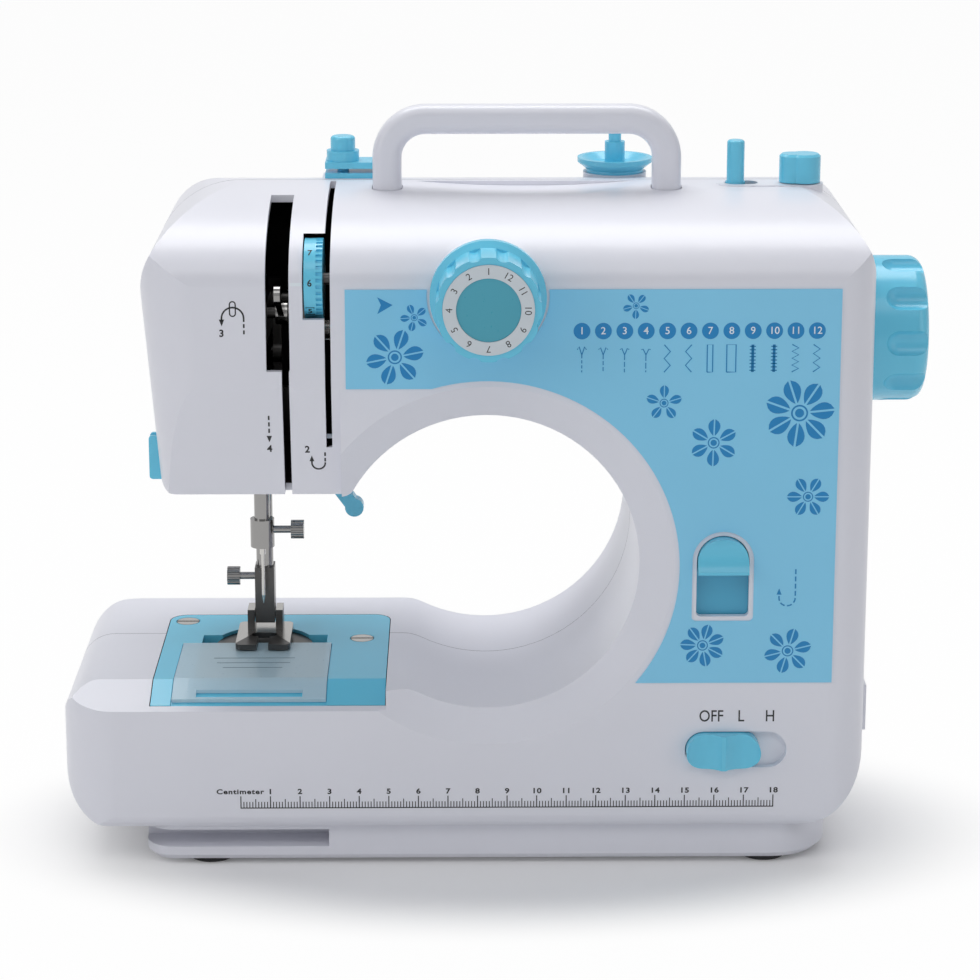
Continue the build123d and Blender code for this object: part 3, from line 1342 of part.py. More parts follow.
def thumb_screw(start, end, head, y, z):
    """Thumb screw along X with a grooved head at its end."""
    side = 1 if end > start else -1
    neck = end - side * head
    stem = rod_x(CLAMP_SCREW_RADIUS, min(start, neck), max(start, neck), y, z)
    profile = Circle(THUMB_RADIUS)
    for index in range(THUMB_GROOVES):
        turn = 2 * math.pi * index / THUMB_GROOVES
        groove = Pos(THUMB_RADIUS * math.cos(turn), THUMB_RADIUS * math.sin(turn))
        profile = profile - groove * Circle(THUMB_RADIUS / 8)
    return stem + along_x(Pos(y, z) * profile, min(neck, end), max(neck, end))


def needle():
    shank_low = CLAMP_LOW - NEEDLE_SHANK
    shank = rod_z(NEEDLE_SHANK_RADIUS - TURN_GAP, shank_low, NEEDLE_BAR_LOW, NEEDLE_X, NEEDLE_Y)
    blade_high = CLAMP_LOW - NEEDLE_SHANK
    blade = rod_z(NEEDLE_RADIUS, NEEDLE_TIP + NEEDLE_POINT, blade_high, NEEDLE_X, NEEDLE_Y)
    point = Pos(NEEDLE_X, NEEDLE_Y, NEEDLE_TIP + NEEDLE_POINT / 2) * Cone(0.1, NEEDLE_RADIUS, NEEDLE_POINT)
    return shank + blade + point


write("needle_bar", needle_bar())
write("needle_link", needle_link())
write("needle_clamp", needle_clamp())
clamp_start = NEEDLE_X + NEEDLE_BAR_RADIUS + SEAT_GAP
clamp_end = clamp_start + CLAMP_SCREW_LENGTH
write("clamp_screw", thumb_screw(clamp_start, clamp_end, THUMB_HEAD, NEEDLE_Y, clamp_middle()))
write("needle", needle())


# Presser bar and foot
def presser_bar():
    bar = rod_z(PRESSER_RADIUS, SHANK_LOW + SHANK_SOCKET, PRESSER_TOP, NEEDLE_X, PRESSER_Y)
    low = LIFTER_Z + LIFTER_WIDTH + SEAT_GAP
    collar = rod_z(COLLAR_RADIUS, low, low + COLLAR_HEIGHT, NEEDLE_X, PRESSER_Y)
    finger = block(NEEDLE_X - PRESSER_RADIUS, NEEDLE_X + PRESSER_RADIUS, PRESSER_Y, LIFTER_BACK, low,
                   low + COLLAR_HEIGHT)
    return bar + collar + finger


def presser_spring():
    low = LIFTER_Z + LIFTER_WIDTH + SEAT_GAP + COLLAR_HEIGHT + SPRING_WIRE
    high = GUIDE_ARM_LOW - SPRING_WIRE
    radius = PRESSER_RADIUS + SPRING_WIRE + SEAT_GAP
    path = Helix((high - low) / SPRING_TURNS, high - low, radius)
    section = Plane(path @ 0, z_dir=path % 0) * Circle(SPRING_WIRE / 2)
    return Pos(NEEDLE_X, PRESSER_Y, low) * sweep(section, path)


def foot_shank():
    """Ankle clamped on the presser bar, open at its foot for the foot's pin."""
    half = SHANK_WIDTH / 2
    shank = block(NEEDLE_X - half, NEEDLE_X + half, PRESSER_Y - SHANK_DEPTH / 2, PRESSER_Y + SHANK_DEPTH / 2,
                  FOOT_PIN_Z - FOOT_PIN_RADIUS - 1, SHANK_HIGH)
    shank = shank - rod_z(PRESSER_RADIUS, SHANK_LOW + SHANK_SOCKET, SHANK_HIGH + 1, NEEDLE_X, PRESSER_Y)
    pin = rod_x(FOOT_PIN_RADIUS + SEAT_GAP, -FAR, FAR, PRESSER_Y, FOOT_PIN_Z)
    screw = rod_x(CLAMP_SCREW_RADIUS + TURN_GAP, -FAR, NEEDLE_X, PRESSER_Y, FOOT_SCREW_Z)
    return shank - pin - screw


def presser_foot():
    """Sole with a needle slot and two toes, and the cheeks that hold the cross pin."""
    left = NEEDLE_X - FOOT_WIDTH / 2
    right = NEEDLE_X + FOOT_WIDTH / 2
    back = PRESSER_Y + FOOT_HEEL
    front = back - FOOT_LENGTH
    sole = block(left, right, front, back, FOOT_BOTTOM, FOOT_BOTTOM + FOOT_SOLE)
    sole = fillet(sole.edges().filter_by(Axis.Z), FOOT_SOLE)
    toe_cut = SlotOverall(FOOT_LENGTH, FOOT_SLOT)
    slot = Pos(NEEDLE_X, front) * Rot(0, 0, 90) * toe_cut
    sole = sole - along_z(slot, 0, BODY_TOP)
    sole = sole - along_z(Pos(NEEDLE_X, NEEDLE_Y) * SlotOverall(FOOT_NEEDLE_SLOT, FOOT_SLOT), 0, BODY_TOP)
    inner = SHANK_WIDTH / 2 + SEAT_GAP
    for side in (-1, 1):
        near = NEEDLE_X + side * inner
        far = near + side * FOOT_CHEEK
        sole = sole + block(min(near, far), max(near, far), PRESSER_Y - SHANK_DEPTH / 2, back - SEAT_GAP,
                            FOOT_BOTTOM + FOOT_SOLE / 2, FOOT_PIN_Z + FOOT_CHEEK)
    reach = inner + FOOT_CHEEK
    return sole + rod_x(FOOT_PIN_RADIUS, NEEDLE_X - reach, NEEDLE_X + reach, PRESSER_Y, FOOT_PIN_Z)


write("presser_bar", presser_bar())
write("presser_spring", presser_spring())
write("foot_shank", foot_shank())
foot_screw_start = NEEDLE_X - PRESSER_RADIUS - SEAT_GAP
foot_screw_end = foot_screw_start - FOOT_SCREW_LENGTH
write("foot_screw", thumb_screw(foot_screw_start, foot_screw_end, THUMB_HEAD, PRESSER_Y,
                                FOOT_SCREW_Z))
write("presser_foot", presser_foot())


# Needle plate, stitch plate and bobbin cover
def cover_form(grow, front, top_room):
    """Clear cover: flat over the bobbin, bent down over the front lip."""
    back = COVER_BACK + grow
    bend = BODY_FRONT + BED_SLOPE_DEPTH
    low = BED_TOP - COVER_SINK - grow
    high = BED_TOP - COVER_SINK + COVER_THICKNESS + top_room
    fall = BED_TOP - bed_slope(front)
    section = make_face(Polyline(
        (back, low),
        (bend, low),
        (front, low - fall),
        (front, high - fall),
        (bend, high),
        (back, high),
        close=True,
    ))
    return along_x(section, COVER_LEFT - grow, COVER_RIGHT + grow)


def bobbin_cover():
    cover = cover_form(0, COVER_FRONT, 0)
    middle = (COVER_LEFT + COVER_RIGHT) / 2
    half = COVER_GRIP_LENGTH / 2
    grip_front = COVER_FRONT + 1
    grip = block(middle - half, middle + half, grip_front, grip_front + COVER_GRIP_WIDTH, 0, BODY_TOP)
    return cover - grip


def needle_plate():
    plate = plate_form(0, 0)
    plate = plate - block(
        PLATE_WINDOW_LEFT, PLATE_WINDOW_RIGHT, PLATE_WINDOW_FRONT, PLATE_WINDOW_BACK, 0, BODY_TOP)
    lefts = feed_bars()
    plate = plate - block(
        lefts[0] - 1, lefts[1] + FEED_BAR_WIDTH + 1, NEEDLE_Y, FEED_WINDOW_BACK, 0, BODY_TOP)
    plate = plate - cover_form(SLIDE_GAP, PLATE_FRONT - 1, COVER_THICKNESS)
    plate = plate - rod_z(STITCH_PLATE_RADIUS + SEAT_GAP, STITCH_PLATE_LOW, BODY_TOP, NEEDLE_X, NEEDLE_Y)
    for x, y in PLATE_SCREWS:
        plate = plate - rod_z(PLATE_SCREW_RADIUS, 0, BODY_TOP, x, y)
        plate = plate - rod_z(PLATE_SCREW_HEAD + SEAT_GAP, BED_TOP - PLATE_SCREW_SINK, BODY_TOP, x, y)
    return plate


def plate_screws():
    screws = []
    for x, y in PLATE_SCREWS:
        low = BED_TOP - PLATE_SCREW_SINK
        screw = rod_z(PLATE_SCREW_HEAD, low, BED_TOP, x, y)
        screw = screw + rod_z(PLATE_SCREW_RADIUS - TURN_GAP, low - PLATE_SCREW_LENGTH, low, x, y)
        half = PLATE_SCREW_SLOT_WIDTH / 2
        slot = block(x - FAR, x + FAR, y - half, y + half, BED_TOP - PLATE_SCREW_SLOT, BED_TOP + 1)
        screws.append(screw - slot)
    return Compound(children=screws)


def feed_bars():
    """Left edges of the two rows of feed teeth."""
    return (NEEDLE_X - FEED_SPREAD - FEED_BAR_WIDTH, NEEDLE_X + FEED_SPREAD)


def stitch_plate():
    high = STITCH_PLATE_LOW + STITCH_PLATE_THICKNESS
    plate = rod_z(STITCH_PLATE_RADIUS, STITCH_PLATE_LOW, high, NEEDLE_X, NEEDLE_Y)
    slot = Pos(NEEDLE_X, NEEDLE_Y) * SlotOverall(FOOT_NEEDLE_SLOT, NEEDLE_HOLE)
    plate = plate - along_z(slot, 0, BODY_TOP)
    half = FEED_BAR_LENGTH / 2 + FEED_TRAVEL + SLIDE_GAP
    for left in feed_bars():
        right = left + FEED_BAR_WIDTH
        plate = plate - block(left - SLIDE_GAP, right + SLIDE_GAP, FEED_Y - half, FEED_Y + half, 0, BODY_TOP)
    return plate


def feed_dog():
    """Two toothed bars on a cross piece behind the needle."""
    half = FEED_BAR_LENGTH / 2
    back = FEED_Y + half
    lefts = feed_bars()
    dog = block(
        lefts[0], lefts[1] + FEED_BAR_WIDTH, back - FEED_CROSS, back, FEED_LOW - FEED_CROSS, FEED_LOW + 1)
    step = FEED_BAR_LENGTH / FEED_TEETH
    for left in lefts:
        points = [(FEED_Y - half, FEED_LOW), (back, FEED_LOW)]
        for index in range(FEED_TEETH):
            points.append((back - index * step, FEED_TOP))
            points.append((back - (index + 1) * step, FEED_TOP - FEED_TOOTH))
        dog = dog + along_x(make_face(Polyline(*points, close=True)), left, left + FEED_BAR_WIDTH)
    return dog


write("needle_plate", needle_plate())
write("plate_screws", plate_screws())
write("stitch_plate", stitch_plate())
write("feed_dog", feed_dog())
write("bobbin_cover", bobbin_cover())


# Shuttle hook, bobbin and lower shaft
def toothed(radius, count):
    """Disc with square gaps round its rim."""
    gap = math.pi * radius / count
    profile = Circle(radius)
    for index in range(count):
        turn = 2 * math.pi * index / count
        notch = Pos(radius * math.cos(turn), radius * math.sin(turn)) * Rot(0, 0, math.degrees(turn))
        profile = profile - notch * Rectangle(2 * TOOTH_DEPTH, gap)
    return profile


def shuttle_hook():
    cup = rod_z(HOOK_RADIUS, HOOK_LOW, HOOK_HIGH, HOOK_X, HOOK_Y)
    cup = cup - rod_z(HOOK_RADIUS - HOOK_WALL, HOOK_LOW + HOOK_WALL, BODY_TOP, HOOK_X, HOOK_Y)
    notch = block(
        HOOK_X, HOOK_X + 2 * HOOK_RADIUS, HOOK_Y - HOOK_NOTCH, HOOK_Y, HOOK_HIGH - HOOK_NOTCH, BODY_TOP)
    shaft = rod_z(HOOK_SHAFT_RADIUS, HOOK_BASE_LOW + WALL, HOOK_LOW, HOOK_X, HOOK_Y)
    gear = along_z(Pos(HOOK_X, HOOK_Y) * toothed(HOOK_GEAR_RADIUS, HOOK_GEAR_TEETH),
                   LOWER_SHAFT_Z - GEAR_WIDTH / 2, LOWER_SHAFT_Z + GEAR_WIDTH / 2)
    return cup - notch + shaft + gear


def hook_base():
    half = HOOK_BASE_HALF
    high = LOWER_SHAFT_Z - GEAR_WIDTH / 2 - SEAT_GAP
    base = block(HOOK_X - half, HOOK_X + half, HOOK_Y - half, HOOK_Y + half, HOOK_BASE_LOW, high)
    return base - rod_z(HOOK_SHAFT_RADIUS + TURN_GAP, HOOK_BASE_LOW + WALL / 2, BODY_TOP, HOOK_X, HOOK_Y)


def bobbin():
    low = HOOK_LOW + HOOK_WALL + SEAT_GAP
    section = make_face(Polyline(
        (BOBBIN_BORE, low),
        (BOBBIN_RADIUS, low),
        (BOBBIN_RADIUS, low + BOBBIN_FLANGE),
        (BOBBIN_HUB, low + BOBBIN_FLANGE),
        (BOBBIN_HUB, low + BOBBIN_HEIGHT - BOBBIN_FLANGE),
        (BOBBIN_RADIUS, low + BOBBIN_HEIGHT - BOBBIN_FLANGE),
        (BOBBIN_RADIUS, low + BOBBIN_HEIGHT),
        (BOBBIN_BORE, low + BOBBIN_HEIGHT),
        close=True,
    ))
    return Pos(HOOK_X, HOOK_Y, 0) * revolve(Plane.XZ * section, Axis.Z)


def lower_shaft():
    right = TIMING_LEFT + PULLEY_WIDTH + WALL
    shaft = rod_x(LOWER_SHAFT_RADIUS, HOOK_X - PINION_WIDTH / 2 - WALL, right, SHAFT_Y, LOWER_SHAFT_Z)
    place = Pos(SHAFT_Y, LOWER_SHAFT_Z)
    pinion = along_x(place * toothed(HOOK_PINION_RADIUS, 2 * HOOK_GEAR_TEETH),
                     HOOK_X - PINION_WIDTH / 2, HOOK_X + PINION_WIDTH / 2)
    pulley = along_x(place * toothed(TIMING_RADIUS, TIMING_TEETH), TIMING_LEFT, TIMING_LEFT + PULLEY_WIDTH)
    return shaft + pinion + pulley


def lower_bearings():
    """Two pillow blocks on the floor of the housing."""
    blocks = []
    for x in (LOWER_BEARING_LEFT, LOWER_BEARING_RIGHT):
        body = block(x, x + 2 * BUSH_LENGTH, SHAFT_Y - PILLOW_HALF, SHAFT_Y + PILLOW_HALF,
                     HOOK_BASE_LOW, LOWER_SHAFT_Z + PILLOW_HALF)
        bore = rod_x(LOWER_SHAFT_RADIUS + TURN_GAP, x - 1, x + 2 * BUSH_LENGTH + 1, SHAFT_Y, LOWER_SHAFT_Z)
        blocks.append(body - bore)
    return Compound(children=blocks)


write("shuttle_hook", shuttle_hook())
write("hook_base", hook_base())
write("bobbin", bobbin())
write("lower_shaft", lower_shaft())
write("lower_bearings", lower_bearings())


# Main shaft and drive
def belt(x0, first, second):
    """Belt round two (y, z, radius) pulleys."""
    loops = []
    for grow in (SEAT_GAP, SEAT_GAP + BELT_THICKNESS):
        rims = [Pos(y, z) * Circle(radius + grow) for y, z, radius in (first, second)]
        loops.append(make_hull(rims[0].edges() + rims[1].edges()))
    return along_x(loops[1] - loops[0], x0, x0 + BELT_WIDTH)


def main_shaft():
    return rod_x(SHAFT_RADIUS, SHAFT_LEFT, BODY_RIGHT + HANDWHEEL_BORE, SHAFT_Y, SHAFT_Z)


def crank_disc():
    disc = rod_x(CRANK_RADIUS, SHAFT_LEFT - 1, SHAFT_LEFT - 1 + CRANK_THICKNESS, SHAFT_Y, SHAFT_Z)
    disc = disc - rod_x(SHAFT_RADIUS + TURN_GAP, SHAFT_LEFT, 0, SHAFT_Y, SHAFT_Z)
    pin_left = LINK_RIGHT + SEAT_GAP
    return disc + rod_x(LINK_PIN_RADIUS, pin_left, SHAFT_LEFT - 1, SHAFT_Y, link_high())


def shaft_pulleys():
    place = Pos(SHAFT_Y, SHAFT_Z)
    bore = rod_x(SHAFT_RADIUS + TURN_GAP, 0, BODY_RIGHT, SHAFT_Y, SHAFT_Z)
    drive = rod_x(DRIVE_PULLEY_RADIUS, DRIVE_PULLEY_LEFT, DRIVE_PULLEY_LEFT + PULLEY_WIDTH, SHAFT_Y, SHAFT_Z)
    timing = along_x(place * toothed(TIMING_RADIUS, TIMING_TEETH), TIMING_LEFT, TIMING_LEFT + PULLEY_WIDTH)
    return Compound(children=[drive - bore, timing - bore])


def shaft_bushes():
    bushes = []
    for left in web_places():
        outer = rod_x(SHAFT_RADIUS + BUSH_WALL, left, left + BUSH_LENGTH, SHAFT_Y, SHAFT_Z)
        bore = rod_x(SHAFT_RADIUS + TURN_GAP, left - 1, left + BUSH_LENGTH + 1, SHAFT_Y, SHAFT_Z)
        bushes.append(outer - bore)
    return Compound(children=bushes)


def web_places():
    """Left faces of the two webs that hold the shaft bushes."""
    return (ARM_FRAME_LEFT, ARM_FRAME_RIGHT - BUSH_LENGTH)


def arm_frame():
    frame = block(ARM_FRAME_LEFT, ARM_FRAME_RIGHT, FRAME_FRONT, FRAME_BACK, ARM_FRAME_LOW, ARM_FRAME_HIGH)
    reach = SHAFT_RADIUS + BUSH_WALL + WEB_RIM
    for left in web_places():
        web = block(left, left + BUSH_LENGTH, SHAFT_Y - reach, FRAME_FRONT, SHAFT_Z - reach, SHAFT_Z + reach)
        frame = frame + web
        frame = frame - rod_x(SHAFT_RADIUS + BUSH_WALL, left - 1, left + BUSH_LENGTH + 1, SHAFT_Y, SHAFT_Z)
    return frame


def head_frame():
    """Plate with two guide arms for the bars and a bracket for the take-up lever."""
    step = LIFTER_Z + 2 * LIFTER_WIDTH
    frame = block(HEAD_FRAME_LEFT, HEAD_FRAME_STEP, FRAME_FRONT, FRAME_BACK, HEAD_FRAME_LOW, HEAD_FRAME_HIGH)
    frame = frame + block(HEAD_FRAME_LEFT, HEAD_FRAME_RIGHT, FRAME_FRONT, FRAME_BACK, HEAD_FRAME_LOW, step)
    window = 2 * PRESSER_RADIUS
    frame = frame - block(NEEDLE_X - window, NEEDLE_X + window / 2 + 1, -FAR, FAR,
                          HEAD_FRAME_LOW + GUIDE_FLOOR_HEIGHT, GUIDE_ARM_LOW)
    front = NEEDLE_Y - GUIDE_ARM_REACH
    left = NEEDLE_X - GUIDE_ARM_REACH
    right = TAKE_UP_BRACKET_RIGHT
    levels = ((HEAD_FRAME_LOW, GUIDE_FLOOR_HEIGHT), (GUIDE_ARM_LOW, GUIDE_ARM_HEIGHT))
    for low, height in levels:
        frame = frame + block(left, right, front, FRAME_FRONT, low, low + height)
    bracket = block(right - TAKE_UP_BRACKET_WIDTH, right, TAKE_UP_Y - TAKE_UP_HUB, front + 1,
                    GUIDE_ARM_LOW, TAKE_UP_Z + TAKE_UP_HUB)
    frame = frame + bracket
    frame = frame - rod_z(NEEDLE_BAR_RADIUS + TURN_GAP, 0, BODY_TOP, NEEDLE_X, NEEDLE_Y)
    return frame - rod_z(PRESSER_RADIUS + TURN_GAP, 0, BODY_TOP, NEEDLE_X, PRESSER_Y)


def motor():
    right = MOTOR_LEFT + MOTOR_LENGTH
    can = rod_x(MOTOR_RADIUS, MOTOR_LEFT, right, MOTOR_Y, MOTOR_Z)
    can = chamfer(can.edges(), MOTOR_CHAMFER)
    boss = rod_x(2 * MOTOR_SHAFT_RADIUS, right, right + WALL / 2, MOTOR_Y, MOTOR_Z)
    bore = rod_x(MOTOR_SHAFT_RADIUS + TURN_GAP, right - MOTOR_BORE, right + WALL, MOTOR_Y, MOTOR_Z)
    return can + boss - bore


def motor_pulley():
    right = MOTOR_LEFT + MOTOR_LENGTH
    pulley_right = DRIVE_PULLEY_LEFT + PULLEY_WIDTH
    shaft = rod_x(MOTOR_SHAFT_RADIUS, right - MOTOR_BORE + SEAT_GAP, pulley_right, MOTOR_Y, MOTOR_Z)
    return shaft + rod_x(MOTOR_PULLEY_RADIUS, DRIVE_PULLEY_LEFT, pulley_right, MOTOR_Y, MOTOR_Z)


def motor_bracket():
    """Angle plate from the floor of the housing to the back end of the motor."""
    left = MOTOR_LEFT - WALL
    front = MOTOR_Y - MOTOR_RADIUS
    back = MOTOR_Y + MOTOR_RADIUS
    upright = block(left, MOTOR_LEFT, front, back, HOOK_BASE_LOW, MOTOR_Z + MOTOR_RADIUS)
    return upright + block(left, MOTOR_LEFT + MOTOR_RADIUS, front, back, HOOK_BASE_LOW, HOOK_BASE_LOW + WALL)


def casing_screws():
    screws = []
    for x, z in screw_places():
        seat = BODY_BACK - SCREW_SINK
        screw = rod_y(SCREW_HEAD_RADIUS, seat, seat + SCREW_HEAD_RADIUS, x, z)
        screws.append(screw + rod_y(SCREW_RADIUS - TURN_GAP, SEAM_Y - SCREW_BITE + 1, seat, x, z))
    return Compound(children=screws)


belt_left = DRIVE_PULLEY_LEFT + (PULLEY_WIDTH - BELT_WIDTH) / 2
timing_left = TIMING_LEFT + (PULLEY_WIDTH - BELT_WIDTH) / 2
write("main_shaft", main_shaft())
write("crank_disc", crank_disc())
write("shaft_pulleys", shaft_pulleys())
write("shaft_bushes", shaft_bushes())
write("arm_frame", arm_frame())
write("head_frame", head_frame())
write("motor", motor())
write("motor_pulley", motor_pulley())
write("motor_bracket", motor_bracket())
drive_wheel = (SHAFT_Y, SHAFT_Z, DRIVE_PULLEY_RADIUS)
motor_wheel = (MOTOR_Y, MOTOR_Z, MOTOR_PULLEY_RADIUS)
write("drive_belt", belt(belt_left, drive_wheel, motor_wheel))
upper_wheel = (SHAFT_Y, SHAFT_Z, TIMING_RADIUS)
lower_wheel = (SHAFT_Y, LOWER_SHAFT_Z, TIMING_RADIUS)
write("timing_belt", belt(timing_left, upper_wheel, lower_wheel))
write("casing_screws", casing_screws())
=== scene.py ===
import math

import bmesh
import bpy
from mathutils import Matrix, Vector
from mathutils.bvhtree import BVHTree


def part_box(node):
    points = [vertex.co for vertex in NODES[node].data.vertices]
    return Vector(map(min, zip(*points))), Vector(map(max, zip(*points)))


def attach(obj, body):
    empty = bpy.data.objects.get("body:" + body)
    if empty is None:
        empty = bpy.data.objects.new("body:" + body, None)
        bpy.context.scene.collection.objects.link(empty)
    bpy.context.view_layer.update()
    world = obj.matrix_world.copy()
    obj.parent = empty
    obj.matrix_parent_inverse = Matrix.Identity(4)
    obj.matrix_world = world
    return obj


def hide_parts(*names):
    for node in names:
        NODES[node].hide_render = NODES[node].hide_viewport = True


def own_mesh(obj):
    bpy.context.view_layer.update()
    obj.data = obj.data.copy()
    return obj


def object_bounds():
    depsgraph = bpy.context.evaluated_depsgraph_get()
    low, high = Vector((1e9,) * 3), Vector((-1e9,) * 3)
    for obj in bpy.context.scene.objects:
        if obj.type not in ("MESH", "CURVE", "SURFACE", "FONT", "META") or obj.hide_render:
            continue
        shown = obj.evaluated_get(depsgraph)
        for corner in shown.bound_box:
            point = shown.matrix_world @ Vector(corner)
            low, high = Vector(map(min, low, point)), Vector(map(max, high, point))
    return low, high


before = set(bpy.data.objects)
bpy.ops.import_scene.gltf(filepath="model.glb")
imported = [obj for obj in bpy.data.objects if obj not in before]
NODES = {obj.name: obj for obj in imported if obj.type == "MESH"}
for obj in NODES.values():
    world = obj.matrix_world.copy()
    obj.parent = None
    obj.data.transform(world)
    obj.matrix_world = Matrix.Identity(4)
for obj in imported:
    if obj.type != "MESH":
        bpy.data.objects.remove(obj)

CAD_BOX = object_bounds()
MM = 0.001

# Colours, linear
WHITE = (0.80, 0.805, 0.865)
BLUE = (0.14, 0.61, 0.83)
# Darker blue painted as shade on the plate behind the reverse lever
LEVER_SHADE_BLUE = (0.075, 0.40, 0.60)
PANEL_BLUE = (0.25, 0.65, 0.90)
PRINT_BLUE = (0.005, 0.235, 0.55)
PRINT_WHITE = (0.82, 0.88, 0.92)
INK_BLACK = (0.012, 0.012, 0.014)
COVER_GREY = (0.13, 0.19, 0.23)
TEAL = (0.07, 0.385, 0.50)
RING_GREY = (0.66, 0.72, 0.76)
STEEL = (0.56, 0.55, 0.53)
NICKEL = (0.30, 0.295, 0.29)
DARK_STEEL = (0.10, 0.097, 0.095)
RUBBER_BLACK = (0.025, 0.025, 0.027)
# Dark colour painted as shade on the inner faces of the housing
INSIDE_SHADE_COLOUR = (0.022, 0.018, 0.017)
PLASTIC_BLACK = (0.03, 0.03, 0.033)
BOARD_GREEN = (0.02, 0.11, 0.045)
CAST_GREY = (0.42, 0.42, 0.43)
BRONZE = (0.42, 0.25, 0.1)
FROST = (0.66, 0.87, 0.96)
SEAM_GREY = (0.30, 0.30, 0.33)
LENS_WHITE = (0.85, 0.86, 0.84)

# Noise in the materials: slow clouds tint the colour, fine grain sets gloss and relief
CLOUD_SCALE = 14.0
CLOUD_DETAIL = 3.0
CLOUD_LOW = 0.3
CLOUD_HIGH = 0.7
GRAIN_DETAIL = 2.0
RELIEF_DEPTH = 0.0002
LEAST_ROUGH = 0.02

# Printed surfaces, millimetres
FRONT_Y = -42.0
PANEL_Y = -42.4
SLOPE_TOP = 169.0
SLOPE_LOW = 131.0
SLOPE_DEPTH = 8.0
SLOPE_RIGHT = -52.0
CROWN_LOW = 203.0
CROWN_HEIGHT = 24.0
CROWN_Y = 20.0
PROUD = 0.05
SUNK = 0.05


def shade_smooth(obj, angle=32.0):
    """Smooth shading with sharp edges where faces meet at more than the angle."""
    mesh = obj.data
    mesh.shade_smooth()
    mesh.set_sharp_from_angle(angle=math.radians(angle))


def surface(name, colour, rough, vary=0.04, rough_vary=0.06, grain=900.0, bump=0.02, metal=0.0, coat=0.0,
            stretch=(1, 1, 1), coat_rough=0.05, alpha=1.0, specular=0.5):
    """A moulded or metal surface: colour, roughness and fine relief all come from noise in object space."""
    material = bpy.data.materials.new(name)
    material.use_nodes = True
    nodes = material.node_tree.nodes
    links = material.node_tree.links
    shader = nodes["Principled BSDF"]
    place = nodes.new("ShaderNodeTexCoord")
    mapping = nodes.new("ShaderNodeMapping")
    mapping.inputs["Scale"].default_value = stretch
    links.new(place.outputs["Object"], mapping.inputs["Vector"])
    cloud = nodes.new("ShaderNodeTexNoise")
    cloud.inputs["Scale"].default_value = CLOUD_SCALE
    cloud.inputs["Detail"].default_value = CLOUD_DETAIL
    links.new(mapping.outputs["Vector"], cloud.inputs["Vector"])
    tint = nodes.new("ShaderNodeValToRGB")
    dark, light = tint.color_ramp.elements
    dark.position = CLOUD_LOW
    light.position = CLOUD_HIGH
    dark.color = (*[c * (1 - vary) for c in colour], 1)
    light.color = (*[min(1.0, c * (1 + vary)) for c in colour], 1)
    links.new(cloud.outputs["Fac"], tint.inputs["Fac"])
    links.new(tint.outputs["Color"], shader.inputs["Base Color"])
    fine = nodes.new("ShaderNodeTexNoise")
    fine.inputs["Scale"].default_value = grain
    fine.inputs["Detail"].default_value = GRAIN_DETAIL
    links.new(mapping.outputs["Vector"], fine.inputs["Vector"])
    gloss = nodes.new("ShaderNodeMapRange")
    gloss.inputs["To Min"].default_value = max(LEAST_ROUGH, rough - rough_vary)
    gloss.inputs["To Max"].default_value = rough + rough_vary
    links.new(fine.outputs["Fac"], gloss.inputs["Value"])
    links.new(gloss.outputs["Result"], shader.inputs["Roughness"])
    relief = nodes.new("ShaderNodeBump")
    relief.inputs["Strength"].default_value = bump
    relief.inputs["Distance"].default_value = RELIEF_DEPTH
    links.new(fine.outputs["Fac"], relief.inputs["Height"])
    links.new(relief.outputs["Normal"], shader.inputs["Normal"])
    shader.inputs["Metallic"].default_value = metal
    shader.inputs["Coat Weight"].default_value = coat
    shader.inputs["Coat Roughness"].default_value = coat_rough
    shader.inputs["Specular IOR Level"].default_value = specular
    shader.inputs["Alpha"].default_value = alpha
    return material


white = surface("white_gloss", WHITE, 0.30, vary=0.012, rough_vary=0.04, bump=0.004, coat=0.04, grain=500)
blue = surface("blue_gloss", BLUE, 0.24, vary=0.03, rough_vary=0.03, bump=0.004, coat=0.1, grain=500)
# Painted shade: the darker blue for the plate behind the reverse lever
lever_plate_shade = surface("lever_plate_shade", LEVER_SHADE_BLUE, 0.34, vary=0.03)
panel = surface("panel_film", PANEL_BLUE, 0.34, vary=0.015, rough_vary=0.04, bump=0.008)
print_blue = surface("print_blue", PRINT_BLUE, 0.38, vary=0.05)
print_white = surface("print_white", PRINT_WHITE, 0.38, vary=0.02)
print_black = surface("print_black", INK_BLACK, 0.4, vary=0.15)
cover_grey = surface("cover_grey", COVER_GREY, 0.45, vary=0.05)
teal = surface("dial_teal", TEAL, 0.3, vary=0.05)
ring_grey = surface("ring_grey", RING_GREY, 0.4, vary=0.02)
steel = surface("bright_steel", STEEL, 0.2, vary=0.08, metal=1.0, bump=0.05, stretch=(1, 1, 0.08), grain=1600)
nickel = surface("dark_nickel", NICKEL, 0.13, vary=0.1, metal=1.0, bump=0.03, stretch=(1, 1, 0.1), grain=1500)
dark_steel = surface("dark_steel", DARK_STEEL, 0.3, vary=0.12, metal=1.0, bump=0.06, grain=1300)
rubber = surface("black_rubber", RUBBER_BLACK, 0.7, vary=0.15, bump=0.2, specular=0.3)
# Painted shade: the dark material for the inner faces of the housing
inside_shade = surface("inside_painted_shade", INSIDE_SHADE_COLOUR, 0.55, vary=0.2, specular=0.25)
inner_plastic = surface("inner_black", PLASTIC_BLACK, 0.45, vary=0.15)
board_green = surface("board_green", BOARD_GREEN, 0.35, vary=0.15)
casting = surface("cast_alloy", CAST_GREY, 0.5, vary=0.12, metal=1.0, bump=0.25, grain=500)
bronze = surface("sintered_bronze", BRONZE, 0.45, vary=0.15, metal=1.0, bump=0.2)
frosted = surface("frosted_clear", FROST, 0.3, vary=0.03, alpha=0.6, coat=0.3)
switch_white = surface("switch_white", WHITE, 0.35, vary=0.02)
seam_dark = surface("seam_shade", SEAM_GREY, 0.6, vary=0.1, specular=0.2)
lens = surface("lamp_lens", LENS_WHITE, 0.15, vary=0.02, coat=0.4)

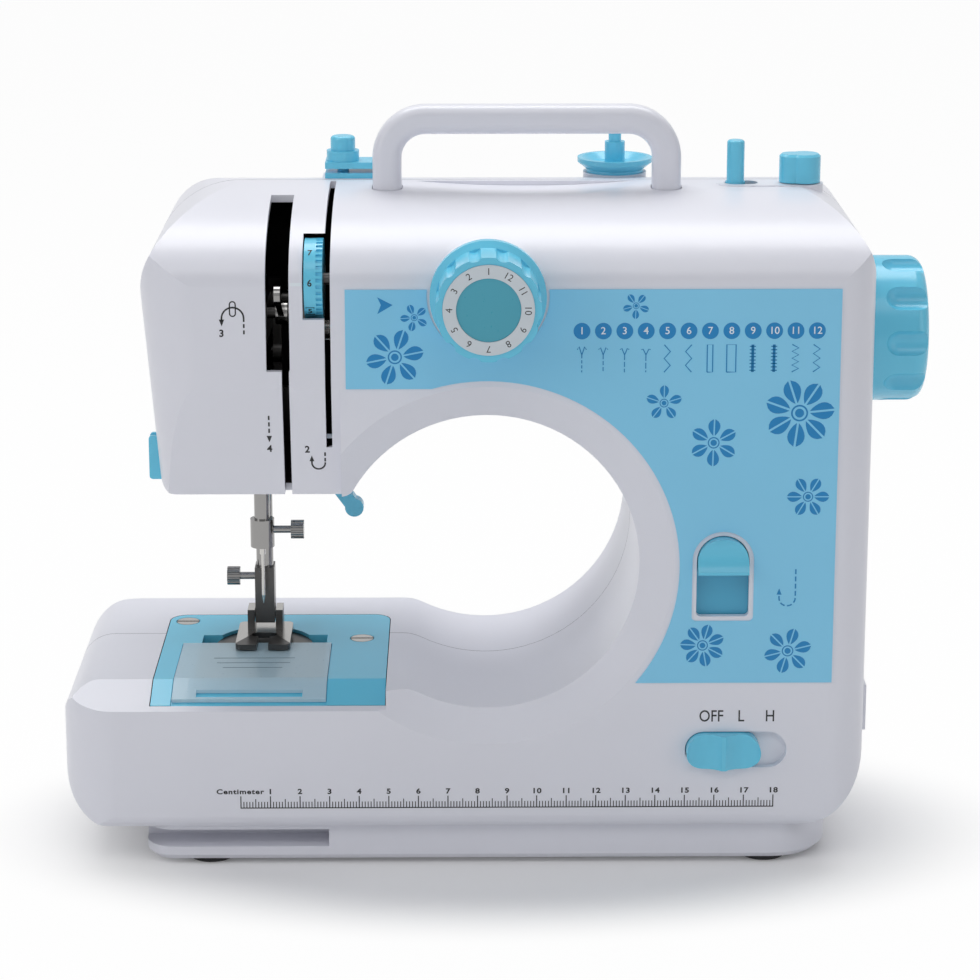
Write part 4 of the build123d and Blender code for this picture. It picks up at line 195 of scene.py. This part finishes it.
FINISH = {
    white: ["front_shell", "rear_shell", "base_tray", "carrying_handle", "jack_block"],
    blue: ["needle_plate", "pattern_dial", "tension_wheel", "thread_guide", "pretension_cap", "spool_bush",
           "spool_dish", "spool_pin", "winder_spindle", "winder_stop", "handwheel", "reverse_lever",
           "speed_slider", "thread_cutter", "lifter_lever"],
    steel: ["needle", "plate_screws", "presser_spring", "main_shaft", "lower_shaft", "casing_screws",
            "shuttle_hook", "motor", "motor_pulley"],
    nickel: ["take_up_lever", "needle_bar", "presser_bar", "needle_clamp", "clamp_screw", "foot_screw"],
    dark_steel: ["stitch_plate", "feed_dog", "presser_foot", "foot_shank", "needle_link", "pivot_pins",
                 "crank_disc", "head_frame"],
    rubber: ["rubber_feet", "drive_belt", "timing_belt"],
    panel: ["front_panel"],
    ring_grey: ["dial_ring"],
    inner_plastic: ["stitch_cam", "hook_base", "shaft_pulleys", "winder_carriage", "lower_bearings"],
    board_green: ["circuit_board"],
    frosted: ["bobbin_cover", "bobbin"],
    lens: ["lamp_lens"],
    casting: ["arm_frame", "motor_bracket"],
    bronze: ["shaft_bushes"]}

for material, names in FINISH.items():
    for name in names:
        NODES[name].data.materials.clear()
        NODES[name].data.materials.append(material)
        shade_smooth(NODES[name])


def paint(name, material, test):
    """Give another material to the faces of a piece that pass a test on their middle and normal."""
    mesh = NODES[name].data
    mesh.materials.append(material)
    for face in mesh.polygons:
        if test(face.center / MM, face.normal):
            face.material_index = len(mesh.materials) - 1


# The dial's middle is darker than its grip
DIAL_X = -3.6
DIAL_Z = 199.8
DIAL_MIDDLE = 10.5
DIAL_MIDDLE_DEPTH = 0.5
DIAL_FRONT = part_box("pattern_dial")[0].y / MM
paint("pattern_dial", teal, lambda p, n: (p.y < DIAL_FRONT + DIAL_MIDDLE_DEPTH
                                          and math.hypot(p.x - DIAL_X, p.z - DIAL_Z) < DIAL_MIDDLE))

# The jacks are black in their bores: y and radius of each
JACKS = ((-13.0, 3.0), (0.0, 2.0))
JACK_Z = 51.0
paint("jack_block", inner_plastic, lambda p, n: any(math.hypot(p.y - y, p.z - JACK_Z) < r for y, r in JACKS))

# Painted shade: the plate behind the reverse lever's thumb piece gets a darker blue for the shade it lies in, though
# it is the same plastic as the lever
LEVER_PLATE_Y = -39.6
paint("reverse_lever", lever_plate_shade, lambda p, n: p.y > LEVER_PLATE_Y)

# The presser foot is bright steel on its upward faces behind its toes, dark steel elsewhere
FOOT_REAR = 11.5
FOOT_UPWARD = 0.6
paint("presser_foot", steel, lambda p, n: p.y > FOOT_REAR and n.z > FOOT_UPWARD)

# The switch on the circuit board shows white in the speed slot
SWITCH_BACK = -31.6
paint("circuit_board", switch_white, lambda p, n: p.y < SWITCH_BACK)

# Painted shade: faces that open only into the hollow of the housing are painted dark, for the shade inside the
# housing
ESCAPE_RAYS = 48
ESCAPE_SHARE = 0.14
ESCAPE_START = 2e-5
ESCAPE_FACING = 0.05
ESCAPE_WALLS = ("front_shell", "rear_shell", "base_tray", "needle_plate", "bobbin_cover")


def ray_fan(count):
    """Directions spread evenly over a sphere."""
    golden = math.pi * (3 - math.sqrt(5))
    for i in range(count):
        height = 1 - 2 * (i + 0.5) / count
        flat = math.sqrt(1 - height * height)
        yield Vector((flat * math.cos(golden * i), flat * math.sin(golden * i), height))


def darken_inside(names):
    """Paint shade: give the dark shade material to the faces from which few rays leave the housing."""
    walls = bmesh.new()
    for name in ESCAPE_WALLS:
        walls.from_mesh(NODES[name].data)
    tree = BVHTree.FromBMesh(walls)
    fan = list(ray_fan(ESCAPE_RAYS))
    for name in names:
        mesh = NODES[name].data
        mesh.materials.append(inside_shade)
        for face in mesh.polygons:
            start = face.center + face.normal * ESCAPE_START
            rays = [ray for ray in fan if ray.dot(face.normal) > ESCAPE_FACING]
            free = sum(tree.ray_cast(start, ray)[0] is None for ray in rays)
            if free < ESCAPE_SHARE * len(rays):
                face.material_index = 1
    walls.free()


darken_inside(["front_shell", "rear_shell"])

# The wall beside the needle plate's sloping end is in sight, so it stays white, without the painted shade
PLATE_WALL_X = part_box("needle_plate")[1].x / MM
PLATE_WALL_REACH = 1.0
PLATE_WALL_LOW = 55.0
PLATE_WALL_FACING = 0.9
for face in NODES["front_shell"].data.polygons:
    middle = face.center / MM
    on_wall = abs(middle.x - PLATE_WALL_X) < PLATE_WALL_REACH and middle.z > PLATE_WALL_LOW
    if on_wall and abs(face.normal.x) > PLATE_WALL_FACING:
        face.material_index = 0

SEAM_Y = 23.0
SEAM_WIDTH = 0.28
SEAM_PROUD = 0.02
SEAM_REACH = 0.01
SEAM_FACING = 0.9
SEAM_WELD = 1e-6


def seam_line(width, proud):
    """A fine shaded line, in millimetres, where the two halves of the housing meet."""
    form = bmesh.new()
    form.from_mesh(NODES["front_shell"].data)
    bmesh.ops.remove_doubles(form, verts=form.verts, dist=SEAM_WELD)
    verts, faces = [], []
    for edge in form.edges:
        if any(abs(v.co.y / MM - SEAM_Y) > SEAM_REACH for v in edge.verts):
            continue
        skins = [face for face in edge.link_faces if abs(face.normal.y) < SEAM_FACING and face.material_index == 0]
        if len(skins) != 1 or len(edge.link_faces) != 2:
            continue
        first = len(verts)
        for end in edge.verts:
            for side, out in ((-1, -1), (1, -1), (1, 1), (-1, 1)):
                place = end.co + skins[0].normal * out * proud * MM + Vector((0, side * width / 2 * MM, 0))
                verts.append([min(max(place[i], CAD_BOX[0][i]), CAD_BOX[1][i]) for i in range(3)])
        faces += [[first + i, first + (i + 1) % 4, first + 4 + (i + 1) % 4, first + 4 + i] for i in range(4)]
        faces += [[first + 3, first + 2, first + 1, first], [first + 4, first + 5, first + 6, first + 7]]
    form.free()
    mesh = bpy.data.meshes.new("seam_line")
    mesh.from_pydata(verts, [], faces)
    mesh.materials.append(seam_dark)
    line = bpy.data.objects.new("seam_line", mesh)
    bpy.context.scene.collection.objects.link(line)
    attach(line, "casing")


seam_line(SEAM_WIDTH, SEAM_PROUD)


def place_front(x, z, out):
    """A point on the machine's front face, which leans back under the head and over the crown."""
    depth = FRONT_Y
    if x < SLOPE_RIGHT and SLOPE_LOW < z < SLOPE_TOP:
        depth += SLOPE_DEPTH * (SLOPE_TOP - z) / (SLOPE_TOP - SLOPE_LOW)
    elif z > CROWN_LOW:
        depth = CROWN_Y - (CROWN_Y - FRONT_Y) * math.sqrt(1 - ((z - CROWN_LOW) / CROWN_HEIGHT) ** 2)
    return Vector((x, depth - out, z)) * MM


def place_panel(x, z, out):
    """A point on the panel film."""
    return Vector((x, PANEL_Y - out, z)) * MM


CAPITAL_SHARE = 0.729
LETTER_STEPS = 4
LETTER_WELD = 1e-5


class Ink:
    """Flat shapes drawn in the front view, x and z in millimetres, printed as one thin layer."""

    def __init__(self):
        self.shapes = []

    def poly(self, points):
        """A filled outline."""
        self.shapes.append((list(points), [list(range(len(points)))]))

    def line(self, points, width):
        """A stroke of even width along a run of points."""
        left, right = [], []
        for i, point in enumerate(points):
            before = Vector(points[max(i - 1, 0)])
            after = Vector(points[min(i + 1, len(points) - 1)])
            along = (after - before).normalized()
            side = Vector((-along.y, along.x)) * width / 2
            left.append(tuple(Vector(point) + side))
            right.append(tuple(Vector(point) - side))
        count = len(points)
        faces = [[i, i + 1, count + i + 1, count + i] for i in range(count - 1)]
        self.shapes.append((left + right, faces))

    def dashes(self, points, width, dash, gap):
        """A broken stroke along a run of points."""
        run = [Vector(p) for p in points]
        piece, left, drawing = [run[0]], dash, True
        for start, end in zip(run, run[1:]):
            length = (end - start).length
            done = 0.0
            while length - done > left:
                done += left
                spot = start.lerp(end, done / length)
                if drawing:
                    self.line([tuple(p) for p in piece + [spot]], width)
                piece = [spot]
                drawing = not drawing
                left = dash if drawing else gap
            left -= length - done
            piece.append(end)
        if drawing and len(piece) > 1 and (piece[-1] - piece[0]).length > width:
            self.line([tuple(p) for p in piece], width)

    def disc(self, x, z, radius, count=36):
        """A filled circle."""
        self.poly([(x + radius * math.cos(math.tau * i / count), z + radius * math.sin(math.tau * i / count))
                   for i in range(count)])

    def text(self, words, x, z, height, angle=0.0, bold=0.0, wide=1.0, spread=1.0):
        """Letters centred on a point; height is that of a capital, in millimetres."""
        curve = bpy.data.curves.new("letters", "FONT")
        curve.body = words
        curve.size = height / CAPITAL_SHARE
        curve.align_x = "CENTER"
        curve.align_y = "CENTER"
        curve.offset = bold
        curve.space_character = spread
        curve.resolution_u = LETTER_STEPS
        letters = bpy.data.objects.new("letters", curve)
        bpy.context.scene.collection.objects.link(letters)
        bpy.context.view_layer.update()
        mesh = bpy.data.meshes.new_from_object(letters.evaluated_get(bpy.context.evaluated_depsgraph_get()))
        form = bmesh.new()
        form.from_mesh(mesh)
        bmesh.ops.remove_doubles(form, verts=form.verts, dist=LETTER_WELD)
        turn = Matrix.Rotation(angle, 2)
        form.verts.index_update()
        points = [tuple(turn @ Vector((v.co.x * wide, v.co.y)) + Vector((x, z))) for v in form.verts]
        faces = [[v.index for v in face.verts] for face in form.faces]
        form.free()
        bpy.data.objects.remove(letters)
        bpy.data.curves.remove(curve)
        bpy.data.meshes.remove(mesh)
        self.shapes.append((points, faces))

    def build(self, name, material, body, place):
        """Make the shapes one closed layer on the surface that place describes, riding on a body."""
        verts, faces = [], []
        for points, shape in self.shapes:
            area = sum(points[a][0] * points[b][1] - points[b][0] * points[a][1]
                       for face in shape for a, b in zip(face, face[1:] + face[:1]))
            if area < 0:
                shape = [face[::-1] for face in shape]
            low, high = len(verts), len(verts) + len(points)
            verts += [place(x, z, -SUNK) for x, z in points] + [place(x, z, PROUD) for x, z in points]
            edges = {}
            for face in shape:
                faces.append([high + i for i in face])
                faces.append([low + i for i in face[::-1]])
                for a, b in zip(face, face[1:] + face[:1]):
                    edges[(a, b)] = True
            for a, b in edges:
                if (b, a) not in edges:
                    faces.append([low + a, low + b, high + b, high + a])
        mesh = bpy.data.meshes.new(name)
        mesh.from_pydata(verts, [], faces)
        mesh.update()
        mesh.materials.append(material)
        obj = bpy.data.objects.new(name, mesh)
        bpy.context.scene.collection.objects.link(obj)
        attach(obj, body)


# Centimetre ruler along the bed
RULER_LEFT = -87.2
RULER_Z = 23.0
RULER_CM = 18
RULER_END = 0.15
TICK = 2.2
TICK_FIVE = 3.2
TICK_TEN = 4.2
TICK_WIDTH = 0.3
TICK_TEN_WIDTH = 0.36
RULER_TEXT_RISE = 5.8
RULER_NUMBER = 1.85
RULER_WORD = 1.75
RULER_WORD_SHIFT = -0.2
ruler = Ink()
for step in range(RULER_CM * 10 + 1):
    tall = TICK_TEN if step % 10 == 0 else TICK_FIVE if step % 5 == 0 else TICK
    x = RULER_LEFT + step
    ruler.line([(x, RULER_Z), (x, RULER_Z + tall)], TICK_TEN_WIDTH if step % 10 == 0 else TICK_WIDTH)
ruler.line([(RULER_LEFT - RULER_END, RULER_Z), (RULER_LEFT + RULER_CM * 10 + RULER_END, RULER_Z)], TICK_TEN_WIDTH)
for centimetre in range(1, RULER_CM + 1):
    ruler.text(str(centimetre), RULER_LEFT + centimetre * 10, RULER_Z + RULER_TEXT_RISE, RULER_NUMBER,
               bold=0.085, wide=1.2, spread=1.12)
ruler.text("Centimeter", RULER_LEFT + RULER_WORD_SHIFT, RULER_Z + RULER_TEXT_RISE, RULER_WORD,
           bold=0.075, wide=1.25, spread=1.14)
ruler.build("ruler_print", print_black, "casing", place_front)

# Speed legend
SPEED_Z = 55.2
SPEED_HEIGHT = 4.2
speed = Ink()
for word, x in (("OFF", 71.4), ("L", 81.4), ("H", 91.2)):
    speed.text(word, x, SPEED_Z, SPEED_HEIGHT, bold=0.03, wide=0.82)
speed.build("speed_print", print_black, "casing", place_front)

ARROW_HALF = 0.38


def arrow_head(ink, x, z, dx, dz, size):
    """A filled triangle that points along dx, dz from the middle of its back."""
    along = Vector((dx, dz)).normalized() * size
    side = Vector((-along.y, along.x)) * ARROW_HALF
    tip = Vector((x, z)) + along
    ink.poly([tuple(tip), tuple(Vector((x, z)) + side), tuple(Vector((x, z)) - side)])


def arc(x, z, radius, start, end, count=14):
    """Points along an arc, with its two angles in degrees."""
    return [(x + radius * math.cos(math.radians(start + (end - start) * i / count)),
             z + radius * math.sin(math.radians(start + (end - start) * i / count))) for i in range(count + 1)]


# Threading marks on the head: the loop through the take-up lever, the way down, the hook under the tension wheel
MARK = 0.55
MARK_FINE = 0.42
MARK_NUMBER = 2.4
MARK_BOLD = 0.1
LOOP_X = -86.6
LOOP_LEFT = -90.2
LOOP_RIGHT = -83.0
LOOP_Z = 192.6
LOOP_RADIUS = 3.6
EYE_LOW = 194.2
EYE_HIGH = 197.2
EYE_RADIUS = 0.95
DOWN_X = -75.6
HOOK_X = -59.6
HOOK_LEFT = -61.8
HOOK_RIGHT = -57.4
HOOK_Z = 142.4
HOOK_RADIUS = 2.2
marks = Ink()
marks.line([(LOOP_LEFT, 191.6), (LOOP_LEFT, LOOP_Z)] + arc(LOOP_X, LOOP_Z, LOOP_RADIUS, 180, 0)
           + [(LOOP_RIGHT, 191.4)], MARK)
marks.dashes([(LOOP_RIGHT, 190.7), (LOOP_RIGHT, 187.2)], MARK, 1.3, 0.8)
arrow_head(marks, LOOP_LEFT, 192.2, 0, -1, 2.3)
marks.line(arc(LOOP_X, EYE_HIGH, EYE_RADIUS, 0, 180, 8) + arc(LOOP_X, EYE_LOW, EYE_RADIUS, 180, 360, 8)
           + [(LOOP_X + EYE_RADIUS, EYE_HIGH)], MARK_FINE)
marks.text("3", -90.3, 187.5, MARK_NUMBER, bold=MARK_BOLD)
marks.dashes([(DOWN_X, 159.4), (DOWN_X, 152.0)], MARK, 1.5, 0.8)
arrow_head(marks, DOWN_X, 152.2, 0, -1, 2.3)
marks.text("4", DOWN_X, 147.5, MARK_NUMBER, bold=MARK_BOLD)
marks.dashes([(HOOK_RIGHT, 146.2), (HOOK_RIGHT, HOOK_Z)], MARK, 1.3, 0.7)
marks.line([(HOOK_RIGHT, 142.6)] + arc(HOOK_X, HOOK_Z, HOOK_RADIUS, 0, -180) + [(HOOK_LEFT, 143.4)], MARK)
arrow_head(marks, HOOK_LEFT, 143.0, 0, 1, 2.1)
marks.text("2", -63.2, 147.2, MARK_NUMBER, bold=MARK_BOLD)
marks.build("threading_print", print_black, "casing", place_front)

# Tension wheel numbers, with the usual setting in a box, and their index line
TENSION_X = -61.5
TENSION_Y = -29.0
TENSION_Z = 203.0
TENSION_RADIUS = 13.5
TENSION_COUNT = 8
TENSION_SHOWN = 6
TENSION_BOXED = 5
TENSION_STEP = math.radians(45)
TENSION_START = math.radians(5)
TENSION_NUMBER = 2.2
TENSION_BOX_HALF = 1.3
TENSION_BOX_RISE = 1.8
TENSION_BOX_LINE = 0.3
INDEX_LEFT = -68.0
INDEX_RIGHT = -64.2
INDEX_LOW = 203.2
INDEX_HIGH = 204.3


def place_wheel(x, run, out):
    """A point on the wheel's rim, run millimetres round it from its front."""
    reach = TENSION_RADIUS + out
    angle = run / TENSION_RADIUS
    return Vector((x, TENSION_Y - reach * math.cos(angle), TENSION_Z + reach * math.sin(angle))) * MM


scale = Ink()
for i in range(TENSION_COUNT):
    run = (TENSION_START + TENSION_STEP * (i - TENSION_SHOWN)) * TENSION_RADIUS
    scale.text(str(i), TENSION_X, run, TENSION_NUMBER, bold=0.06)
    if i == TENSION_BOXED:
        left, right = TENSION_X - TENSION_BOX_HALF, TENSION_X + TENSION_BOX_HALF
        low, high = run - TENSION_BOX_RISE, run + TENSION_BOX_RISE
        scale.line([(left, low), (right, low), (right, high), (left, high), (left, low)], TENSION_BOX_LINE)
scale.build("tension_numbers", print_black, "tension", place_wheel)
index = Ink()
index.poly([(INDEX_LEFT, INDEX_LOW), (INDEX_RIGHT, INDEX_LOW), (INDEX_RIGHT, INDEX_HIGH), (INDEX_LEFT, INDEX_HIGH)])
index.build("tension_index", print_white, "casing", place_front)

# Lines moulded into the bobbin cover: y and half length of each
COVER_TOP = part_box("bobbin_cover")[1].z / MM
COVER_X = -84.3
COVER_LINE = 0.45


def place_cover(x, y, out):
    """A point on the cover's flat top."""
    return Vector((x, y, COVER_TOP + out)) * MM


cover_lines = Ink()
for y, half in ((-5.5, 14.0), (-10.5, 12.6), (-15.5, 10.2)):
    cover_lines.line([(COVER_X - half, y), (COVER_X + half, y)], COVER_LINE)
cover_lines.build("cover_lines", cover_grey, "cover", place_cover)

# Stitch legend on the panel: a numbered disc and a stitch under it, twelve times
LEGEND_COUNT = 12
LEGEND_LEFT = 26.95
LEGEND_STEP = 6.97
LEGEND_Z = 188.2
LEGEND_DISC = 2.75
LEGEND_NUMBER = 2.5
STITCH_TOP = 183.6
STITCH_LOW = 174.4
STITCH_FORK = 3.4
STITCH_LINE = 0.4
STITCH_FINE = 0.35
STITCH_HEAVY = 0.9
legend = Ink()
numbers = Ink()
for i in range(LEGEND_COUNT):
    x = LEGEND_LEFT + LEGEND_STEP * i
    legend.disc(x, LEGEND_Z, LEGEND_DISC)
    numbers.text(str(i + 1), x, LEGEND_Z, LEGEND_NUMBER, bold=0.02)
    if i < 4:
        # Straight stitches of four lengths under a fork
        fork = STITCH_TOP - STITCH_FORK
        legend.dashes([(x, fork), (x, STITCH_LOW)], STITCH_FINE, 1.1 + 0.3 * i, 0.6)
        for side in (-1, 1):
            legend.line([(x, fork), (x + side * 0.9, STITCH_TOP - 0.6 - 0.3 * i),
                         (x + side * 1.5, STITCH_TOP - 1.6)], STITCH_FINE)
    elif i < 6:
        # Open zigzags, one the mirror of the other
        hand = 1 if i == 4 else -1
        legend.line([(x + (1.0 if k % 2 else -1.0) * hand, STITCH_TOP - k * 2.3) for k in range(5)], STITCH_LINE)
    elif i < 8:
        # Buttonholes, narrow and wide
        half = 0.9 if i == 6 else 1.5
        legend.line([(x - half, STITCH_LOW), (x - half, STITCH_TOP), (x + half, STITCH_TOP), (x + half, STITCH_LOW),
                     (x - half, STITCH_LOW)], STITCH_LINE)
    elif i < 10:
        # Dense stitches across a heavy line
        legend.line([(x, STITCH_LOW), (x, STITCH_TOP)], STITCH_HEAVY)
        for k in range(8):
            z = STITCH_TOP - 0.6 - k * 1.15
            legend.line([(x - 1.0, z), (x + 1.0, z)], STITCH_FINE)
    else:
        # Close zigzags of two pitches
        pitch, count = (1.15, 9) if i == 10 else (1.53, 7)
        legend.line([(x + (1.1 if k % 2 else -1.1), STITCH_TOP - k * pitch) for k in range(count)], STITCH_LINE)

# Arrow towards the dial
legend.poly([(-39.6, 199.6), (-34.6, 197.0), (-39.6, 194.0), (-38.4, 197.0)])

# Flowers, as shares of their size
PETAL_START = 0.3
PETAL_LENGTH = 0.7
PETAL_WIDTH = 0.27
PETAL_STEPS = 8
VEIN_LENGTH = 0.64
VEIN_HALF = 0.03
VEIN_EDGE = 0.035
VEIN_STEPS = 4
BLOSSOM_DOT = 0.13
BLOSSOM_RING = 0.22
BLOSSOM_LINE = 0.05


def blossom(ink, x, z, size, petals, turn):
    """A plain round-petalled flower: petals split by a pale vein, with a ring and a dot in the middle."""
    middle = Vector((x, z))
    for i in range(petals):
        angle = turn + math.tau * i / petals
        out = Vector((math.cos(angle), math.sin(angle)))
        side = Vector((-out.y, out.x))
        for hand in (-1, 1):
            edge = []
            for k in range(PETAL_STEPS + 1):
                t = k / PETAL_STEPS
                width = PETAL_WIDTH * size * math.sin(math.pi * t) ** 0.7 * (0.55 + 0.45 * t)
                edge.append(tuple(middle + out * size * (PETAL_START + PETAL_LENGTH * t)
                                  + side * hand * (VEIN_EDGE * size + width)))
            inner = [tuple(middle + out * size * (PETAL_START + VEIN_LENGTH * k / VEIN_STEPS)
                           + side * hand * VEIN_HALF * size) for k in range(VEIN_STEPS, -1, -1)]
            ink.poly(edge + inner)
    ink.disc(x, z, BLOSSOM_DOT * size, 20)
    ink.line(arc(x, z, BLOSSOM_RING * size, 0, 360, 24), BLOSSOM_LINE * size)


for x, z, size, petals, turn in ((-34.0, 179.6, 9.5, 6, 0.2), (-27.6, 192.8, 4.6, 5, 0.7),
                                 (98.5, 160.5, 11.5, 7, 0.1), (70.5, 150.5, 8.0, 6, 0.5),
                                 (54.0, 164.0, 6.0, 5, 0.3), (102.0, 132.0, 7.0, 6, 0.0),
                                 (68.0, 80.5, 7.5, 7, 0.4), (96.5, 78.5, 8.0, 6, 0.25),
                                 (44.5, 196.6, 4.4, 5, 0.9)):
    blossom(legend, x, z, size, petals, turn)

# Reverse mark beside the lever
REVERSE_LEFT = 93.2
REVERSE_RIGHT = 98.6
REVERSE_X = 95.9
REVERSE_Z = 97.0
REVERSE_RADIUS = 2.7
legend.dashes([(REVERSE_RIGHT, 107.0), (REVERSE_RIGHT, REVERSE_Z)]
              + arc(REVERSE_X, REVERSE_Z, REVERSE_RADIUS, 0, -180) + [(REVERSE_LEFT, 98.6)], 0.5, 1.7, 0.8)
arrow_head(legend, REVERSE_LEFT, 98.2, 0, 1, 2.2)
legend.build("panel_print", print_blue, "casing", place_panel)

# The legend's numbers lie on its discs
NUMBER_PROUD = 0.04
numbers.build("legend_numbers", print_white, "casing",
              lambda x, z, out: place_panel(x, z, out + NUMBER_PROUD))

# Pattern dial numbers, thinner than other print because the ring is the foremost face of the machine
RING_RADIUS = 12.5
RING_NUMBER = 2.3
RING_PRINT_SHARE = 0.2
RING_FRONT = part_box("dial_ring")[0].y / MM
ring = Ink()
for i in range(LEGEND_COUNT):
    angle = math.tau * i / LEGEND_COUNT
    ring.text(str(i + 1), DIAL_X - RING_RADIUS * math.sin(angle), DIAL_Z + RING_RADIUS * math.cos(angle),
              RING_NUMBER, angle=angle)
ring.build("dial_numbers", print_black, "stitch_selector",
           lambda x, z, out: Vector((x, RING_FRONT - out * RING_PRINT_SHARE, z)) * MM)

# The presser spring is drawn from a copy with its own mesh, riding on the casing, and the part itself is hidden
spring = bpy.data.objects.new("presser_coil", NODES["presser_spring"].data.copy())
bpy.context.scene.collection.objects.link(spring)
spring.matrix_world = NODES["presser_spring"].matrix_world.copy()
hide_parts("presser_spring")
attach(spring, "casing")
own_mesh(spring)

# Floor: white to the camera far from the machine, and lit only by the lamps near it, where the shadow shows
FLOOR_COLOUR = (0.93, 0.93, 0.93)
FLOOR_HALF = 6.0
FLOOR_NEAR = 0.08
FLOOR_FAR = 0.97
SHADOW_OVAL = (0.15, 0.08)
SHADOW_START = 0.75
SHADOW_END = 1.3


def larger(tree, first, second):
    """The larger of two values in a node tree."""
    node = tree.nodes.new("ShaderNodeMath")
    node.operation = "MAXIMUM"
    tree.links.new(first, node.inputs[0])
    tree.links.new(second, node.inputs[1])
    return node.outputs[0]


def floor_material(name, colour, near, far):
    """Pale floor that camera, mirror and glass rays see as white, less so near the object, where its shadow shows."""
    material = bpy.data.materials.new(name)
    material.use_nodes = True
    tree = material.node_tree
    nodes, links = tree.nodes, tree.links
    nodes.clear()
    out = nodes.new("ShaderNodeOutputMaterial")
    diffuse = nodes.new("ShaderNodeBsdfDiffuse")
    diffuse.inputs["Color"].default_value = (*colour, 1)
    light = nodes.new("ShaderNodeEmission")
    place = nodes.new("ShaderNodeTexCoord")
    oval = nodes.new("ShaderNodeMapping")
    oval.inputs["Scale"].default_value = (1 / SHADOW_OVAL[0], 1 / SHADOW_OVAL[1], 1.0)
    links.new(place.outputs["Object"], oval.inputs["Vector"])
    reach = nodes.new("ShaderNodeVectorMath")
    reach.operation = "LENGTH"
    links.new(oval.outputs["Vector"], reach.inputs[0])
    glow = nodes.new("ShaderNodeMapRange")
    glow.interpolation_type = "SMOOTHSTEP"
    glow.inputs["From Min"].default_value = SHADOW_START
    glow.inputs["From Max"].default_value = SHADOW_END
    glow.inputs["To Min"].default_value = near
    glow.inputs["To Max"].default_value = far
    links.new(reach.outputs["Value"], glow.inputs["Value"])
    path = nodes.new("ShaderNodeLightPath")
    seen = larger(tree, path.outputs["Is Camera Ray"], path.outputs["Is Glossy Ray"])
    seen = larger(tree, seen, path.outputs["Is Transmission Ray"])
    share = nodes.new("ShaderNodeMath")
    share.operation = "MULTIPLY"
    links.new(seen, share.inputs[0])
    links.new(glow.outputs["Result"], share.inputs[1])
    mix = nodes.new("ShaderNodeMixShader")
    links.new(share.outputs[0], mix.inputs["Fac"])
    links.new(diffuse.outputs[0], mix.inputs[1])
    links.new(light.outputs[0], mix.inputs[2])
    links.new(mix.outputs[0], out.inputs["Surface"])
    return material


floor_mesh = bpy.data.meshes.new("floor")
floor_mesh.from_pydata([(-FLOOR_HALF, -FLOOR_HALF, 0), (FLOOR_HALF, -FLOOR_HALF, 0), (FLOOR_HALF, FLOOR_HALF, 0),
                        (-FLOOR_HALF, FLOOR_HALF, 0)], [], [(0, 1, 2, 3)])
floor_mesh.materials.append(floor_material("floor_white", FLOOR_COLOUR, FLOOR_NEAR, FLOOR_FAR))
floor = bpy.data.objects.new("floor", floor_mesh)
bpy.context.scene.collection.objects.link(floor)

# World: white to the camera and through glass, mostly white in mirrors, and dim as a light
WORLD_COLOUR = (0.9, 0.92, 1.0)
WORLD_STRENGTH = 0.22
MIRROR_SHARE = 0.6
world = bpy.data.worlds.new("studio")
bpy.context.scene.world = world
world.use_nodes = True
tree = world.node_tree
tree.nodes.clear()
out = tree.nodes.new("ShaderNodeOutputWorld")
seen = tree.nodes.new("ShaderNodeBackground")
seen.inputs["Color"].default_value = (1, 1, 1, 1)
lit = tree.nodes.new("ShaderNodeBackground")
lit.inputs["Color"].default_value = (*WORLD_COLOUR, 1)
lit.inputs["Strength"].default_value = WORLD_STRENGTH
path = tree.nodes.new("ShaderNodeLightPath")
mirror = tree.nodes.new("ShaderNodeMath")
mirror.operation = "MULTIPLY"
mirror.inputs[1].default_value = MIRROR_SHARE
tree.links.new(path.outputs["Is Glossy Ray"], mirror.inputs[0])
direct = larger(tree, path.outputs["Is Camera Ray"], path.outputs["Is Transmission Ray"])
mix = tree.nodes.new("ShaderNodeMixShader")
tree.links.new(larger(tree, direct, mirror.outputs[0]), mix.inputs["Fac"])
tree.links.new(lit.outputs[0], mix.inputs[1])
tree.links.new(seen.outputs[0], mix.inputs[2])
tree.links.new(mix.outputs[0], out.inputs["Surface"])

# Softboxes: place, width, height, power and share in highlights
LAMP_AIM = Vector((0, 0, 0.12))
LAMPS = {
    "top_box": ((0.0, 0.4, 1.25), 1.3, 0.6, 10.4, 1.0),
    "left_box": ((-1.15, -0.75, 0.7), 0.7, 1.0, 4.0, 0.35),
    "right_box": ((1.25, -0.8, 0.6), 0.7, 1.0, 2.0, 1.0),
    "front_box": ((0.0, -1.0, 1.3), 1.4, 0.6, 3.8, 1.0)}

for name, (place, width, height, power, shine) in LAMPS.items():
    lamp = bpy.data.lights.new(name, "AREA")
    lamp.shape = "RECTANGLE"
    lamp.size = width
    lamp.size_y = height
    lamp.energy = power
    lamp.specular_factor = shine
    softbox = bpy.data.objects.new(name, lamp)
    bpy.context.scene.collection.objects.link(softbox)
    softbox.location = place
    softbox.rotation_mode = "QUATERNION"
    softbox.rotation_quaternion = (LAMP_AIM - Vector(place)).to_track_quat("-Z", "Y")

# Camera at the photograph's angle
CAMERA_PLACE = (-0.0124, -0.9936, 0.4024)
CAMERA_DOWN = math.radians(13.85)
CAMERA_YAW = -0.0099
CAMERA_LENS = 110.1
CAMERA_SENSOR = 36.0
CAMERA_SHIFT = -0.1
camera_data = bpy.data.cameras.new("camera")
camera_data.lens = CAMERA_LENS
camera_data.shift_y = CAMERA_SHIFT
camera_data.sensor_width = CAMERA_SENSOR
camera = bpy.data.objects.new("camera", camera_data)
bpy.context.scene.collection.objects.link(camera)
camera.location = CAMERA_PLACE
camera.rotation_euler = (math.pi / 2 - CAMERA_DOWN, 0, CAMERA_YAW)
bpy.context.scene.camera = camera
bpy.context.scene.view_settings.view_transform = "Standard"
